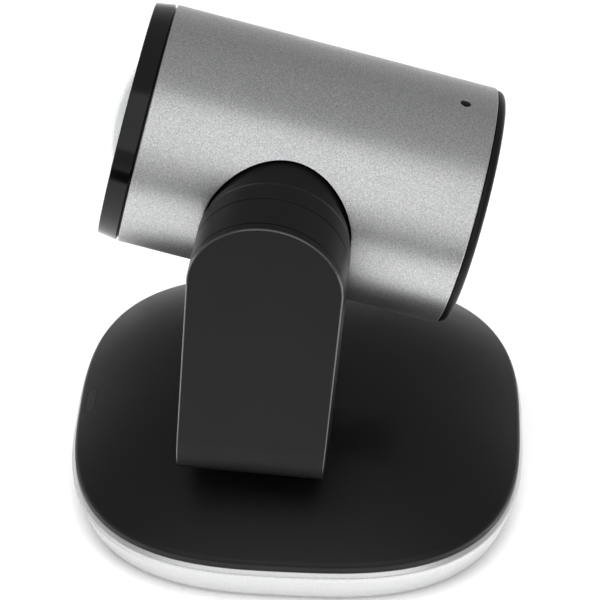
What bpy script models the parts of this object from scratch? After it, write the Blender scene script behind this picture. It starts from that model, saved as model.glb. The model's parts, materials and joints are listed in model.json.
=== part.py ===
"""A pan-tilt-zoom conference camera: a squircle base, a one-sided arm that pans, a barrel head that tilts.

Metres, +Z up. The origin is under the base, on the pan axis. At pan zero the lens faces -Y, with the arm
on +X.
"""

import math

import bmesh
import bpy
from mathutils import Matrix, Vector

# Rest pose
PAN_REST = math.radians(-4.0)  # about +Z
LENS_RAISED = math.radians(12.5)

# Fits
GAP = 0.0003  # between pieces that touch
RUNNING_GAP = 0.0004  # between pieces that turn on each other
SWING_CLEARANCE = 0.0014  # between the swinging head and the arm

# Base
BASE_WIDTH = 0.131  # along X
BASE_DEPTH = 0.130  # along Y
BASE_ROUNDNESS = 3.0  # exponent of the base's superellipse
BASE_WALL = 0.0020
FOOT_HEIGHT = 0.0009
FOOT_RADIUS = 0.0060
FOOT_SPREAD = 0.66  # share of the half width at which a foot sits
RING_HEIGHT = 0.0111
RING_TAPER = 0.0023  # how far the ring draws in at its foot
FLOOR_THICKNESS = 0.0018
COVER_INSET = 0.0006
COVER_LIP = 0.0022
CROWN_HEIGHT = 0.0170  # from the lip to the top of the crown
CROWN_FULLNESS = 2.6  # higher is flatter on top and steeper at the rim

# Head
HEAD_RADIUS = 0.0322
HEAD_WALL = 0.0022
HEAD_FRONT = 0.0450  # tilt axis to the bezel's front
HEAD_REAR = 0.0503  # tilt axis to the rear cap's face
BEZEL_DEPTH = 0.0054
CAP_DEPTH = 0.0022
CAP_STEP = 0.0005  # how far the cap sits inside the shell's outline
CAP_ROUND = 0.0019
HEAD_OFFSET = 0.0015  # the barrel's axis from the pan axis
LENS_WINDOW_RADIUS = 0.0206
LENS_WINDOW_BULGE = 0.0061
SET_SCREW_RADIUS = 0.00105
SET_SCREW_FROM_REAR = 0.0109

# Arm
HUB_RADIUS = 0.0184
ARM_DEPTH = 0.0215
ARM_WALL = 0.0019
ARM_SEAM = 0.0089  # inner face to the seam between the two shells
ARM_HALF_WIDTH = 0.0198
ARM_LEAN = 0.0046  # how far the arm's foot stands forward of its head
PIVOT_Y = -0.0022
BAR_THICKNESS = 0.0090
PAN_DISC_RADIUS = 0.0220
ARM_FOOT_FILLET = 0.0063

# Drives
GEAR_MODULE = 0.00108
GEAR_TEETH = 30
PINION_TEETH = 15
GEAR_WIDTH = 0.0040
BACKLASH = 0.00016
PRESSURE_ANGLE = math.radians(20)
PAN_SHAFT_RADIUS = 0.0080
TILT_SHAFT_RADIUS = 0.0070
SHAFT_WALL = 0.0025
BEARING_DEPTH = 0.0050
BEARING_WALL = 0.0040
MOTOR_RADIUS = 0.0090
MOTOR_HEIGHT = 0.0068
PINION_BORE = 0.0012

# Optics
BARREL_WALL = 0.0018
BARREL_BACK = 0.0120  # tilt axis to the barrel's rear edge
GUIDE_ROD_RADIUS = 0.0010
FOCUS_TRAVEL = 0.0015
CARRIAGE_WIDTH = 0.0060
BOARD_THICKNESS = 0.0016

# Places that follow from the sizes above
HALF_WIDTH = BASE_WIDTH / 2
HALF_DEPTH = BASE_DEPTH / 2
SHELL_BOTTOM = FOOT_HEIGHT + GAP
FLOOR_TOP = SHELL_BOTTOM + FLOOR_THICKNESS
RING_TOP = SHELL_BOTTOM + RING_HEIGHT
COVER_BOTTOM = RING_TOP + GAP
CROWN_EDGE = COVER_BOTTOM + COVER_LIP
CROWN_TOP = CROWN_EDGE + CROWN_HEIGHT
BAR_BOTTOM = CROWN_TOP + 0.0010
BAR_TOP = BAR_BOTTOM + BAR_THICKNESS
CAP_RADIUS = HEAD_RADIUS - CAP_STEP
CAP_CORNER = (HEAD_REAR - 0.3 * CAP_ROUND, CAP_RADIUS - 0.3 * CAP_ROUND)
SWING_RADIUS = max(math.hypot(*CAP_CORNER), math.hypot(HEAD_FRONT, HEAD_RADIUS))
PIVOT_Z = BAR_TOP + SWING_CLEARANCE + SWING_RADIUS
ARM_INNER = HEAD_OFFSET + HEAD_RADIUS + SWING_CLEARANCE
ARM_OUTER = ARM_INNER + ARM_DEPTH
SEAM = ARM_INNER + ARM_SEAM
ARM_FOOT_Y = PIVOT_Y - ARM_LEAN
HUB_HOLE_RADIUS = HUB_RADIUS + RUNNING_GAP
# from the barrel's axis to the hub's inner end, and to the chassis's side plates
HUB_INNER = math.sqrt(HEAD_RADIUS**2 - HUB_HOLE_RADIUS**2) - 0.0013
CHASSIS_X = HUB_INNER - 0.0043
CHASSIS_THICKNESS = 0.0024
BARREL_RADIUS = CHASSIS_X - 0.0012
SHELL_FRONT = -HEAD_FRONT + BEZEL_DEPTH + GAP
SHELL_REAR = HEAD_REAR - CAP_DEPTH - GAP
PITCH_RADIUS = GEAR_MODULE * GEAR_TEETH / 2
PINION_PITCH_RADIUS = GEAR_MODULE * PINION_TEETH / 2
GEAR_CENTRES = PITCH_RADIUS + PINION_PITCH_RADIUS
WEIGHT_BOTTOM = FLOOR_TOP + GAP
WEIGHT_THICKNESS = 0.0020
PAN_MOTOR_BOTTOM = WEIGHT_BOTTOM + WEIGHT_THICKNESS + GAP
PAN_GEAR_BOTTOM = PAN_MOTOR_BOTTOM + MOTOR_HEIGHT + 0.0008
BEARING_PLATE_BOTTOM = PAN_GEAR_BOTTOM + GEAR_WIDTH + 0.0015
BEARING_PLATE_THICKNESS = 0.0015
PORT_FACE = HALF_DEPTH - BASE_WALL - RING_TAPER - 0.0012
TILT_GEAR_X = SEAM + 0.0025

SEGMENTS = 36
SQUIRCLE_POINTS = 44

COLOURS = {
    "silver_shell": ((0.52, 0.52, 0.53, 1), 0.38, 0.9),
    "black_satin": ((0.012, 0.012, 0.013, 1), 0.42, 0.0),
    "black_gloss": ((0.006, 0.006, 0.007, 1), 0.08, 0.0),
    "clear_glass": ((0.75, 0.80, 0.84, 1), 0.02, 0.0),
    "steel": ((0.55, 0.56, 0.58, 1), 0.30, 1.0),
    "brass": ((0.70, 0.52, 0.24, 1), 0.28, 1.0),
    "aluminium": ((0.62, 0.63, 0.65, 1), 0.40, 1.0),
    "rubber": ((0.03, 0.03, 0.03, 1), 0.85, 0.0),
    "circuit_board": ((0.01, 0.09, 0.05, 1), 0.45, 0.0),
    "gear_plastic": ((0.78, 0.77, 0.72, 1), 0.45, 0.0),
    "dark_window": ((0.02, 0.008, 0.012, 1), 0.06, 0.0),
}

# The exact solver leaves open edges where this shell's long round caps meet the bar
SOLVERS = {"arm_inner_shell": "MANIFOLD"}

# Rotations that stand a piece's own +Z along the named axis
FACING = {
    "X": Matrix(((0, 0, 1), (1, 0, 0), (0, 1, 0))).to_euler(),
    "Y": Matrix(((1, 0, 0), (0, 0, 1), (0, -1, 0))).to_euler(),
    "Z": Matrix.Identity(3).to_euler(),
}


def clear_scene():
    for obj in list(bpy.data.objects):
        bpy.data.objects.remove(obj)


def make_collection(name):
    collection = bpy.data.collections.new(name)
    bpy.context.scene.collection.children.link(collection)
    return collection


def make_materials():
    made = {}
    for name, (colour, roughness, metallic) in COLOURS.items():
        material = bpy.data.materials.new(name)
        material.use_nodes = True
        shader = material.node_tree.nodes["Principled BSDF"]
        shader.inputs["Base Color"].default_value = colour
        shader.inputs["Roughness"].default_value = roughness
        shader.inputs["Metallic"].default_value = metallic
        made[name] = material
    return made


def make_empty(name, parent=None, location=(0, 0, 0), rotation=(0, 0, 0)):
    empty = bpy.data.objects.new(name, None)
    PIECES.objects.link(empty)
    empty.parent = parent
    empty.location = location
    empty.rotation_euler = rotation
    return empty


def add_object(name, mesh, frame, material=None, location=(0, 0, 0), rotation=(0, 0, 0)):
    """A piece when it has a material, and otherwise a hidden helper for a Boolean."""
    obj = bpy.data.objects.new(name, mesh)
    obj.parent = frame
    obj.location = location
    obj.rotation_euler = rotation
    if material:
        PIECES.objects.link(obj)
        mesh.materials.append(MATERIALS[material])
    else:
        HELPERS.objects.link(obj)
        obj.hide_render = True
        obj.display_type = "WIRE"
    return obj


def along(facing, distance, centre=(0, 0)):
    """A point at a distance along an axis; centre is its place across that axis, in X, Y, Z order."""
    first, second = centre
    return {
        "X": (distance, first, second),
        "Y": (first, distance, second),
        "Z": (first, second, distance),
    }[facing]


def turned(
    name, profile, frame, material=None, facing="Z", location=(0, 0, 0), ring=True, segments=SEGMENTS
):
    """A profile of (radius, height) points turned round, its outer side from the top down."""
    mesh = bpy.data.meshes.new(name)
    count = len(profile)
    edges = [(i, i + 1) for i in range(count - 1)]
    if ring:
        edges.append((count - 1, 0))
    mesh.from_pydata([(radius, 0, height) for radius, height in profile], edges, [])
    obj = add_object(name, mesh, frame, material, location, FACING[facing])
    screw = obj.modifiers.new("turn", "SCREW")
    screw.steps = screw.render_steps = segments
    screw.use_merge_vertices = True
    screw.merge_threshold = 0.00001
    return obj


def tube(name, outer, inner, low, high, frame, material=None, facing="Z", centre=(0, 0), segments=28):
    profile = [(outer, high), (outer, low), (inner, low), (inner, high)]
    return turned(name, profile, frame, material, facing, along(facing, 0, centre), segments=segments)


def rod(name, radius, low, high, frame, material=None, facing="Z", centre=(0, 0), segments=16):
    profile = [(0, high), (radius, high), (radius, low), (0, low)]
    location = along(facing, 0, centre)
    return turned(name, profile, frame, material, facing, location, ring=False, segments=segments)


def box(name, low, high, frame, material=None):
    low, high = Vector(low), Vector(high)
    mesh = bpy.data.meshes.new(name)
    shape = bmesh.new()
    bmesh.ops.create_cube(shape, size=1)
    bmesh.ops.scale(shape, vec=high - low, verts=shape.verts)
    bmesh.ops.translate(shape, vec=(low + high) / 2, verts=shape.verts)
    shape.to_mesh(mesh)
    shape.free()
    return add_object(name, mesh, frame, material)


def plate_mesh(name, outlines, thickness):
    """A flat outline, with any further outlines as its holes, thickened from zero up its own +Z."""
    curve = bpy.data.curves.new(name, "CURVE")
    curve.dimensions = "2D"
    curve.fill_mode = "BOTH"
    curve.extrude = thickness / 2
    for outline in outlines:
        spline = curve.splines.new("POLY")
        spline.points.add(len(outline) - 1)
        for point, (u, v) in zip(spline.points, outline):
            point.co = (u, v, 0, 1)
        spline.use_cyclic_u = True
    holder = bpy.data.objects.new(name, curve)
    bpy.context.scene.collection.objects.link(holder)
    graph = bpy.context.evaluated_depsgraph_get()
    mesh = bpy.data.meshes.new_from_object(holder.evaluated_get(graph))
    bpy.data.objects.remove(holder)
    shape = bmesh.new()
    shape.from_mesh(mesh)
    bmesh.ops.remove_doubles(shape, verts=shape.verts, dist=0.000001)
    bmesh.ops.translate(shape, vec=(0, 0, thickness / 2), verts=shape.verts)
    bmesh.ops.recalc_face_normals(shape, faces=shape.faces)
    shape.to_mesh(mesh)
    shape.free()
    mesh.name = name
    return mesh


def plate(name, outlines, low, high, frame, material=None, facing="Z", centre=(0, 0)):
    mesh = plate_mesh(name, outlines, high - low)
    return add_object(name, mesh, frame, material, along(facing, low, centre), FACING[facing])


def boolean(target, helper, operation):
    modifier = target.modifiers.new(operation.lower(), "BOOLEAN")
    modifier.operation = operation
    modifier.solver = SOLVERS.get(target.name, "EXACT")
    modifier.object = helper
    return target


def join(target, *helpers):
    for helper in helpers:
        boolean(target, helper, "UNION")


def cut(target, *helpers):
    for helper in helpers:
        boolean(target, helper, "DIFFERENCE")


def circle(radius, centre=(0, 0), count=24):
    steps = (2 * math.pi * i / count for i in range(count))
    return [(centre[0] + radius * math.cos(a), centre[1] + radius * math.sin(a)) for a in steps]


def arc(radius, centre, start, end, count):
    steps = (math.radians(start + (end - start) * i / count) for i in range(count + 1))
    return [(centre[0] + radius * math.cos(a), centre[1] + radius * math.sin(a)) for a in steps]


def squircle(half_x, half_y, roundness, z=None):
    """A superellipse, evenly stepped in its angle."""
    points = []
    for i in range(SQUIRCLE_POINTS):
        angle = 2 * math.pi * (i + 0.5) / SQUIRCLE_POINTS
        c, s = math.cos(angle), math.sin(angle)
        reach = (abs(c) ** roundness + abs(s) ** roundness) ** (-1 / roundness)
        point = (half_x * reach * c, half_y * reach * s)
        points.append(point if z is None else (*point, z))
    return points


def lofted(name, rings, frame, material):
    """A closed shell whose cross-section passes through the rings in turn and back to the first."""
    shape = bmesh.new()
    loops = [[shape.verts.new(point) for point in ring] for ring in rings]
    count = len(rings[0])
    for lower, upper in zip(loops, loops[1:] + loops[:1]):
        for i in range(count):
            j = (i + 1) % count
            shape.faces.new((lower[i], lower[j], upper[j], upper[i]))
    bmesh.ops.recalc_face_normals(shape, faces=shape.faces)
    mesh = bpy.data.meshes.new(name)
    shape.to_mesh(mesh)
    shape.free()
    return add_object(name, mesh, frame, material)


def gear_outline(teeth, phase):
    """Involute teeth, thinned for backlash, with one tooth centred on the phase angle."""
    pitch = GEAR_MODULE * teeth / 2
    base = pitch * math.cos(PRESSURE_ANGLE)
    tip = pitch + 0.9 * GEAR_MODULE
    root = pitch - 1.2 * GEAR_MODULE
    half_at_pitch = math.pi / (2 * teeth) - BACKLASH / pitch
    involute = math.tan(PRESSURE_ANGLE) - PRESSURE_ANGLE

    def half_tooth(radius):
        angle = math.acos(min(1, base / radius))
        return half_at_pitch + involute - (math.tan(angle) - angle)

    flank = [(root, half_tooth(base) + 0.1 * half_at_pitch)]
    start = max(base, root + 0.1 * GEAR_MODULE)
    for step in range(3):
        radius = start + (tip - start) * step / 2
        flank.append((radius, half_tooth(radius)))
    points = []
    for tooth in range(teeth):
        middle = phase + 2 * math.pi * tooth / teeth
        for radius, half in flank:
            points.append((radius * math.cos(middle - half), radius * math.sin(middle - half)))
        for radius, half in reversed(flank):
            points.append((radius * math.cos(middle + half), radius * math.sin(middle + half)))
    return points


def gear(name, teeth, phase, bore, low, frame, material, facing, centre):
    outlines = [gear_outline(teeth, phase), circle(bore)]
    return plate(name, outlines, low, low + GEAR_WIDTH, frame, material, facing, centre)


def pinion_centre(centre, direction):
    return (
        centre[0] + GEAR_CENTRES * math.cos(direction),
        centre[1] + GEAR_CENTRES * math.sin(direction),
    )


# Base


def crown_height(share):
    """The height of the cover's outer skin at a share of the way from the pan axis to the rim."""
    return CROWN_EDGE + CROWN_HEIGHT * (1 - share**CROWN_FULLNESS)


def crown_ring(share, inset):
    reach_x = (HALF_WIDTH - COVER_INSET) * share - inset
    reach_y = (HALF_DEPTH - COVER_INSET) * share - inset
    roundness = 2 + (BASE_ROUNDNESS - 2) * share
    return squircle(reach_x, reach_y, roundness, crown_height(share) - inset)


def base_ring(inset, z):
    return squircle(HALF_WIDTH - inset, HALF_DEPTH - inset, BASE_ROUNDNESS, z)


def hole_ring(radius, z):
    return squircle(radius, radius, 2, z)


def base_shells(frame):
    hole = 0.0065
    lower = lofted(
        "base_lower_shell",
        [
            hole_ring(hole, SHELL_BOTTOM),
            base_ring(RING_TAPER + 0.0012, SHELL_BOTTOM),
            base_ring(RING_TAPER, SHELL_BOTTOM + 0.0008),
            base_ring(0.0002, RING_TOP - 0.0004),
            base_ring(0.0006, RING_TOP),
            base_ring(BASE_WALL + 0.0004, RING_TOP),
            base_ring(BASE_WALL + RING_TAPER, FLOOR_TOP),
            hole_ring(hole, FLOOR_TOP),
        ],
        frame,
        "silver_shell",
    )
    low, high = FLOOR_TOP + 0.0024, RING_TOP - 0.0014
    ports = (("usb", -0.018, 0.0100), ("power", 0.0, 0.0080), ("control", 0.018, 0.0110))
    for name, middle, width in ports:
        opening = box(
            f"{name}_port_opening",
            (middle - width / 2, PORT_FACE - 0.002, low),
            (middle + width / 2, HALF_DEPTH + 0.004, high),
            frame,
        )
        cut(lower, opening)
        port_block(f"{name}_port", middle, width, low, high, frame)
    for index, (x, y) in enumerate(screw_places(), start=1):
        recess = rod(f"base_screw_recess_{index}", 0.0027, 0, SHELL_BOTTOM + 0.0010, frame, centre=(x, y))
        cut(lower, recess)
        head = (SHELL_BOTTOM + 0.0001, SHELL_BOTTOM + 0.0007)
        rod(f"base_screw_{index}", 0.0022, *head, frame, "steel", centre=(x, y), segments=16)

    shares = (0.985, 0.93, 0.84, 0.7, 0.52, 0.32)
    opening = PAN_SHAFT_RADIUS + 0.0010
    outer = [base_ring(COVER_INSET, COVER_BOTTOM), base_ring(COVER_INSET, CROWN_EDGE - 0.0006)]
    outer += [crown_ring(share, 0) for share in shares]
    inner = [crown_ring(share, BASE_WALL) for share in reversed(shares[1:])]
    lip = base_ring(COVER_INSET + BASE_WALL, COVER_BOTTOM)
    edge = [hole_ring(opening, CROWN_TOP), hole_ring(opening, CROWN_TOP - BASE_WALL)]
    cover = lofted("base_top_cover", outer + edge + inner + [lip], frame, "black_satin")
    sensor_window(cover, frame)


def screw_places():
    x, y = HALF_WIDTH * 0.44, HALF_DEPTH * 0.72
    return [(x, y), (-x, y), (x, -y), (-x, -y)]


def port_block(name, middle, width, low, high, frame):
    """A socket body on the board, with its own blind mouth facing out of the rear wall."""
    body = box(
        name,
        (middle - width / 2 + GAP, PORT_FACE - 0.0085, low),
        (middle + width / 2 - GAP, PORT_FACE, high - 0.0002),
        frame,
        "steel" if name == "usb_port" else "black_satin",
    )
    height = (low + high) / 2
    if name == "power_port":
        ends = (PORT_FACE - 0.0070, PORT_FACE + 0.001)
        mouth = rod(f"{name}_mouth", 0.0019, *ends, frame, facing="Y", centre=(middle, height))
    else:
        half = width / 2 - 0.0013
        mouth = box(
            f"{name}_mouth",
            (middle - half, PORT_FACE - 0.0070, height - 0.0016),
            (middle + half, PORT_FACE + 0.001, height + 0.0016),
            frame,
        )
    cut(body, mouth)


def sensor_window(cover, frame):
    """A dark pill window let into the crown's front slope, for the remote control's receiver."""
    place_x, share = 0.0062, 0.925
    half_length, half_height = 0.0035, 0.0016
    depth = BASE_WALL + 0.0020
    reach = (HALF_DEPTH - COVER_INSET) * share
    step = 0.01
    drop = crown_height(share - step) - crown_height(share + step)
    slope = drop / (2 * step * (HALF_DEPTH - COVER_INSET))
    lean = math.atan(slope)

    def pill(radius):
        right = arc(radius, (half_length, 0), -90, 90, 8)
        left = arc(radius, (-half_length, 0), 90, 270, 8)
        return right + left

    turn = (lean, 0, 0)
    place = Vector((place_x, -reach, crown_height(share)))
    normal = Vector((0, -math.sin(lean), math.cos(lean)))
    opening = add_object(
        "sensor_window_opening",
        plate_mesh("sensor_window_opening", [pill(half_height + GAP)], 2 * depth),
        frame,
        location=place - normal * depth,
        rotation=turn,
    )
    cut(cover, opening)
    thickness = 0.0014
    add_object(
        "sensor_window",
        plate_mesh("sensor_window", [pill(half_height)], thickness),
        frame,
        "dark_window",
        location=place - normal * (thickness + 0.0001),
        rotation=turn,
    )


def base_feet(frame):
    for name, u, v in (
        ("foot_front_right", 1, -1),
        ("foot_front_left", -1, -1),
        ("foot_rear_right", 1, 1),
        ("foot_rear_left", -1, 1),
    ):
        centre = (HALF_WIDTH * FOOT_SPREAD * u, HALF_DEPTH * FOOT_SPREAD * v)
        rod(name, FOOT_RADIUS, 0, FOOT_HEIGHT, frame, "rubber", centre=centre)


def base_insides(frame):
    insert_top = SHELL_BOTTOM + 0.0080
    tube("tripod_insert", 0.0062, 0.0032, SHELL_BOTTOM, insert_top, frame, "brass", segments=32)
    weight_depth = HALF_DEPTH * 0.62
    weight_y = -HALF_DEPTH * 0.24
    outline = [(x, y + weight_y) for x, y in squircle(HALF_WIDTH * 0.82, weight_depth, BASE_ROUNDNESS)]
    plate(
        "weight_plate",
        [outline, circle(0.0068)],
        WEIGHT_BOTTOM,
        WEIGHT_BOTTOM + WEIGHT_THICKNESS,
        frame,
        "steel",
    )
    board_front = weight_y + weight_depth + 0.0006
    board_bottom = FLOOR_TOP + GAP
    box(
        "main_board",
        (-0.027, board_front, board_bottom),
        (0.027, PORT_FACE - 0.0010, board_bottom + BOARD_THICKNESS),
        frame,
        "circuit_board",
    )
    rod(
        "pan_motor",
        MOTOR_RADIUS,
        PAN_MOTOR_BOTTOM,
        PAN_MOTOR_BOTTOM + MOTOR_HEIGHT,
        frame,
        "steel",
        centre=pinion_centre((0, 0), math.radians(-90)),
        segments=32,
    )
    bearing_plate(frame)
    low = BEARING_PLATE_BOTTOM + BEARING_PLATE_THICKNESS + GAP
    inner = PAN_SHAFT_RADIUS + GAP
    tube("pan_bearing", inner + BEARING_WALL, inner, low, low + BEARING_DEPTH, frame, "steel")


def bearing_plate(frame):
    """The plate over the pan gear that holds its bearing, on four posts on the weight plate."""
    seat = PAN_SHAFT_RADIUS + GAP + BEARING_WALL + GAP
    top = BEARING_PLATE_BOTTOM + BEARING_PLATE_THICKNESS
    radius = math.hypot(0.022, 0.018) + 0.004
    body = plate(
        "bearing_plate",
        [circle(radius), circle(PAN_SHAFT_RADIUS + 0.001)],
        BEARING_PLATE_BOTTOM,
        top,
        frame,
        "aluminium",
    )
    ring = tube("bearing_seat", seat + 0.0018, seat, top - 0.0006, top + BEARING_DEPTH, frame)
    join(body, ring)
    places = ((0.022, 0.018), (-0.022, 0.018), (0.022, -0.018), (-0.022, -0.018))
    for index, (x, y) in enumerate(places, start=1):
        post = rod(
            f"bearing_post_{index}",
            0.0028,
            PAN_MOTOR_BOTTOM,
            BEARING_PLATE_BOTTOM + 0.0006,
            frame,
            centre=(x, y),
            segments=16,
        )
        join(body, post)


# Arm


def tongue_outline(inset, foot, count=20):
    """The arm seen from its side: round over the tilt axis, with a foot a little forward of the top."""
    half = ARM_HALF_WIDTH - inset
    top = arc(half, (PIVOT_Y, PIVOT_Z), 0, 180, count)
    return top + [(ARM_FOOT_Y - half, foot), (ARM_FOOT_Y + half, foot)]


def bar_outline(inset, end):
    """The arm's foot seen from above: a round disc over the pan axis that widens to the arm's width."""
    half = ARM_HALF_WIDTH - inset
    disc = arc(PAN_DISC_RADIUS - inset, (0, 0), 90, 270, 16)
    return disc + [(end, ARM_FOOT_Y - half), (end, ARM_FOOT_Y + half)]


def arm_shells(frame):
    pivot = (PIVOT_Y, PIVOT_Z)
    hub_end = HEAD_OFFSET + HUB_INNER
    inner = plate(
        "arm_inner_shell",
        [tongue_outline(0, BAR_BOTTOM)],
        ARM_INNER,
        SEAM - GAP,
        frame,
        "black_satin",
        "X",
    )
    root = ARM_INNER + 0.0010
    hub = rod("hub_boss", HUB_RADIUS, hub_end, root, frame, facing="X", centre=pivot, segments=32)
    bar = plate(
        "arm_bar",
        [bar_outline(0.0006, SEAM - 0.0020)],
        BAR_BOTTOM - 0.0002,
        BAR_TOP,
        frame,
    )
    join(inner, hub, bar)
    tongue_space = plate(
        "tongue_space",
        [tongue_outline(ARM_WALL, BAR_BOTTOM + ARM_WALL)],
        ARM_INNER + ARM_WALL,
        SEAM + 0.0020,
        frame,
        facing="X",
    )
    hub_space = rod(
        "hub_space",
        HUB_RADIUS - ARM_WALL - 0.0004,
        hub_end + ARM_WALL,
        ARM_INNER + ARM_WALL + 0.0010,
        frame,
        facing="X",
        centre=pivot,
        segments=32,
    )
    bar_space = plate(
        "bar_space",
        [bar_outline(ARM_WALL + 0.0010, ARM_INNER + ARM_WALL + 0.0010)],
        BAR_BOTTOM + ARM_WALL + 0.0002,
        BAR_TOP - ARM_WALL,
        frame,
    )
    cut(inner, tongue_space, hub_space, bar_space)
    seat = TILT_SHAFT_RADIUS + GAP + BEARING_WALL + GAP
    seat_ring = tube(
        "tilt_bearing_seat",
        seat + 0.0018,
        seat,
        hub_end + ARM_WALL - 0.0006,
        hub_end + ARM_WALL + BEARING_DEPTH,
        frame,
        facing="X",
        centre=pivot,
    )
    join(inner, seat_ring)
    shaft_hole = rod(
        "tilt_shaft_hole",
        TILT_SHAFT_RADIUS + RUNNING_GAP,
        hub_end - 0.0020,
        hub_end + ARM_WALL + 0.0010,
        frame,
        facing="X",
        centre=pivot,
        segments=32,
    )
    wire_hole = rod(
        "pan_wire_hole",
        PAN_SHAFT_RADIUS - SHAFT_WALL,
        BAR_BOTTOM - 0.0020,
        BAR_BOTTOM + ARM_WALL + 0.0010,
        frame,
        segments=32,
    )
    cut(inner, shaft_hole, wire_hole)
    for index, height in enumerate(arm_screw_heights(), start=1):
        place = (ARM_FOOT_Y, height)
        ends = (ARM_INNER - 0.001, ARM_INNER + 0.0010)
        recess = rod(f"arm_screw_recess_{index}", 0.0022, *ends, frame, facing="X", centre=place)
        cut(inner, recess)
        head = (ARM_INNER + 0.0002, ARM_INNER + 0.0007)
        rod(f"arm_screw_{index}", 0.0018, *head, frame, "steel", "X", place, segments=16)

    outline = tongue_outline(0, BAR_BOTTOM)
    cover = plate("arm_outer_cover", [outline], SEAM, ARM_OUTER, frame, "black_satin", "X")
    round_foot(cover)
    cover_space = plate(
        "cover_space",
        [tongue_outline(ARM_WALL, BAR_BOTTOM + 0.0050)],
        SEAM - 0.0020,
        ARM_OUTER - ARM_WALL,
        frame,
        facing="X",
    )
    cut(cover, cover_space)


def arm_screw_heights():
    low = BAR_TOP + 0.0045
    return (low, low + 0.0100)


def round_foot(cover):
    """Weights the lower outer edge so that one Bevel rolls the arm's face under its foot."""
    mesh = cover.data
    weights = mesh.attributes.new("bevel_weight_edge", "FLOAT", "EDGE")
    lowest = min(vertex.co.y for vertex in mesh.vertices)
    outermost = max(vertex.co.z for vertex in mesh.vertices)
    for edge in mesh.edges:
        ends = [mesh.vertices[i].co for i in edge.vertices]
        if all(abs(end.y - lowest) < 1e-6 and abs(end.z - outermost) < 1e-6 for end in ends):
            weights.data[edge.index].value = 1
    bevel = cover.modifiers.new("rolled foot", "BEVEL")
    bevel.limit_method = "WEIGHT"
    bevel.width = ARM_FOOT_FILLET
    bevel.segments = 5


def arm_insides(frame):
    pivot = (PIVOT_Y, PIVOT_Z)
    hub_end = HEAD_OFFSET + HUB_INNER
    tube(
        "pan_shaft",
        PAN_SHAFT_RADIUS,
        PAN_SHAFT_RADIUS - SHAFT_WALL,
        PAN_GEAR_BOTTOM - 0.0010,
        BAR_BOTTOM - 0.0002 - GAP,
        frame,
        "steel",
    )
    inner = TILT_SHAFT_RADIUS + GAP
    low = hub_end + ARM_WALL + GAP
    outer = inner + BEARING_WALL
    tube("tilt_bearing", outer, inner, low, low + BEARING_DEPTH, frame, "steel", "X", pivot)
    rod(
        "tilt_motor",
        MOTOR_RADIUS,
        ARM_INNER + ARM_WALL + GAP,
        ARM_INNER + ARM_WALL + GAP + MOTOR_HEIGHT,
        frame,
        "steel",
        "X",
        pinion_centre(pivot, math.radians(-90)),
        segments=32,
    )
    low = BAR_BOTTOM + ARM_WALL + 0.0080
    box(
        "arm_board",
        (ARM_INNER + ARM_WALL + 0.0008, ARM_FOOT_Y - 0.012, low),
        (ARM_INNER + ARM_WALL + 0.0008 + BOARD_THICKNESS, ARM_FOOT_Y + 0.012, low + 0.0160),
        frame,
        "circuit_board",
    )


# Head: built about the tilt axis, with the barrel along Y


def head_shell(frame):
    profile = [
        (HEAD_RADIUS - 0.0004, SHELL_REAR),
        (HEAD_RADIUS, SHELL_REAR - 0.0004),
        (HEAD_RADIUS, SHELL_FRONT + 0.0003),
        (HEAD_RADIUS - 0.0003, SHELL_FRONT),
        (HEAD_RADIUS - HEAD_WALL, SHELL_FRONT),
        (HEAD_RADIUS - HEAD_WALL, SHELL_REAR),
    ]
    shell = turned("head_shell", profile, frame, "silver_shell", "Y", segments=56)
    end = HEAD_RADIUS + 0.004
    hub_hole = rod("hub_hole", HUB_HOLE_RADIUS, 0.004, end, frame, facing="X", segments=40)
    place = (0, SHELL_REAR - SET_SCREW_FROM_REAR + 0.0023)
    screw_hole = rod(
        "set_screw_hole",
        SET_SCREW_RADIUS + GAP,
        HEAD_RADIUS - HEAD_WALL - 0.002,
        HEAD_RADIUS + 0.002,
        frame,
        centre=place,
        segments=20,
    )
    cut(shell, hub_hole, screw_hole)
    low, high = HEAD_RADIUS - HEAD_WALL + GAP, HEAD_RADIUS - 0.0009
    rod("set_screw", SET_SCREW_RADIUS, low, high, frame, "steel", centre=place, segments=16)


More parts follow.
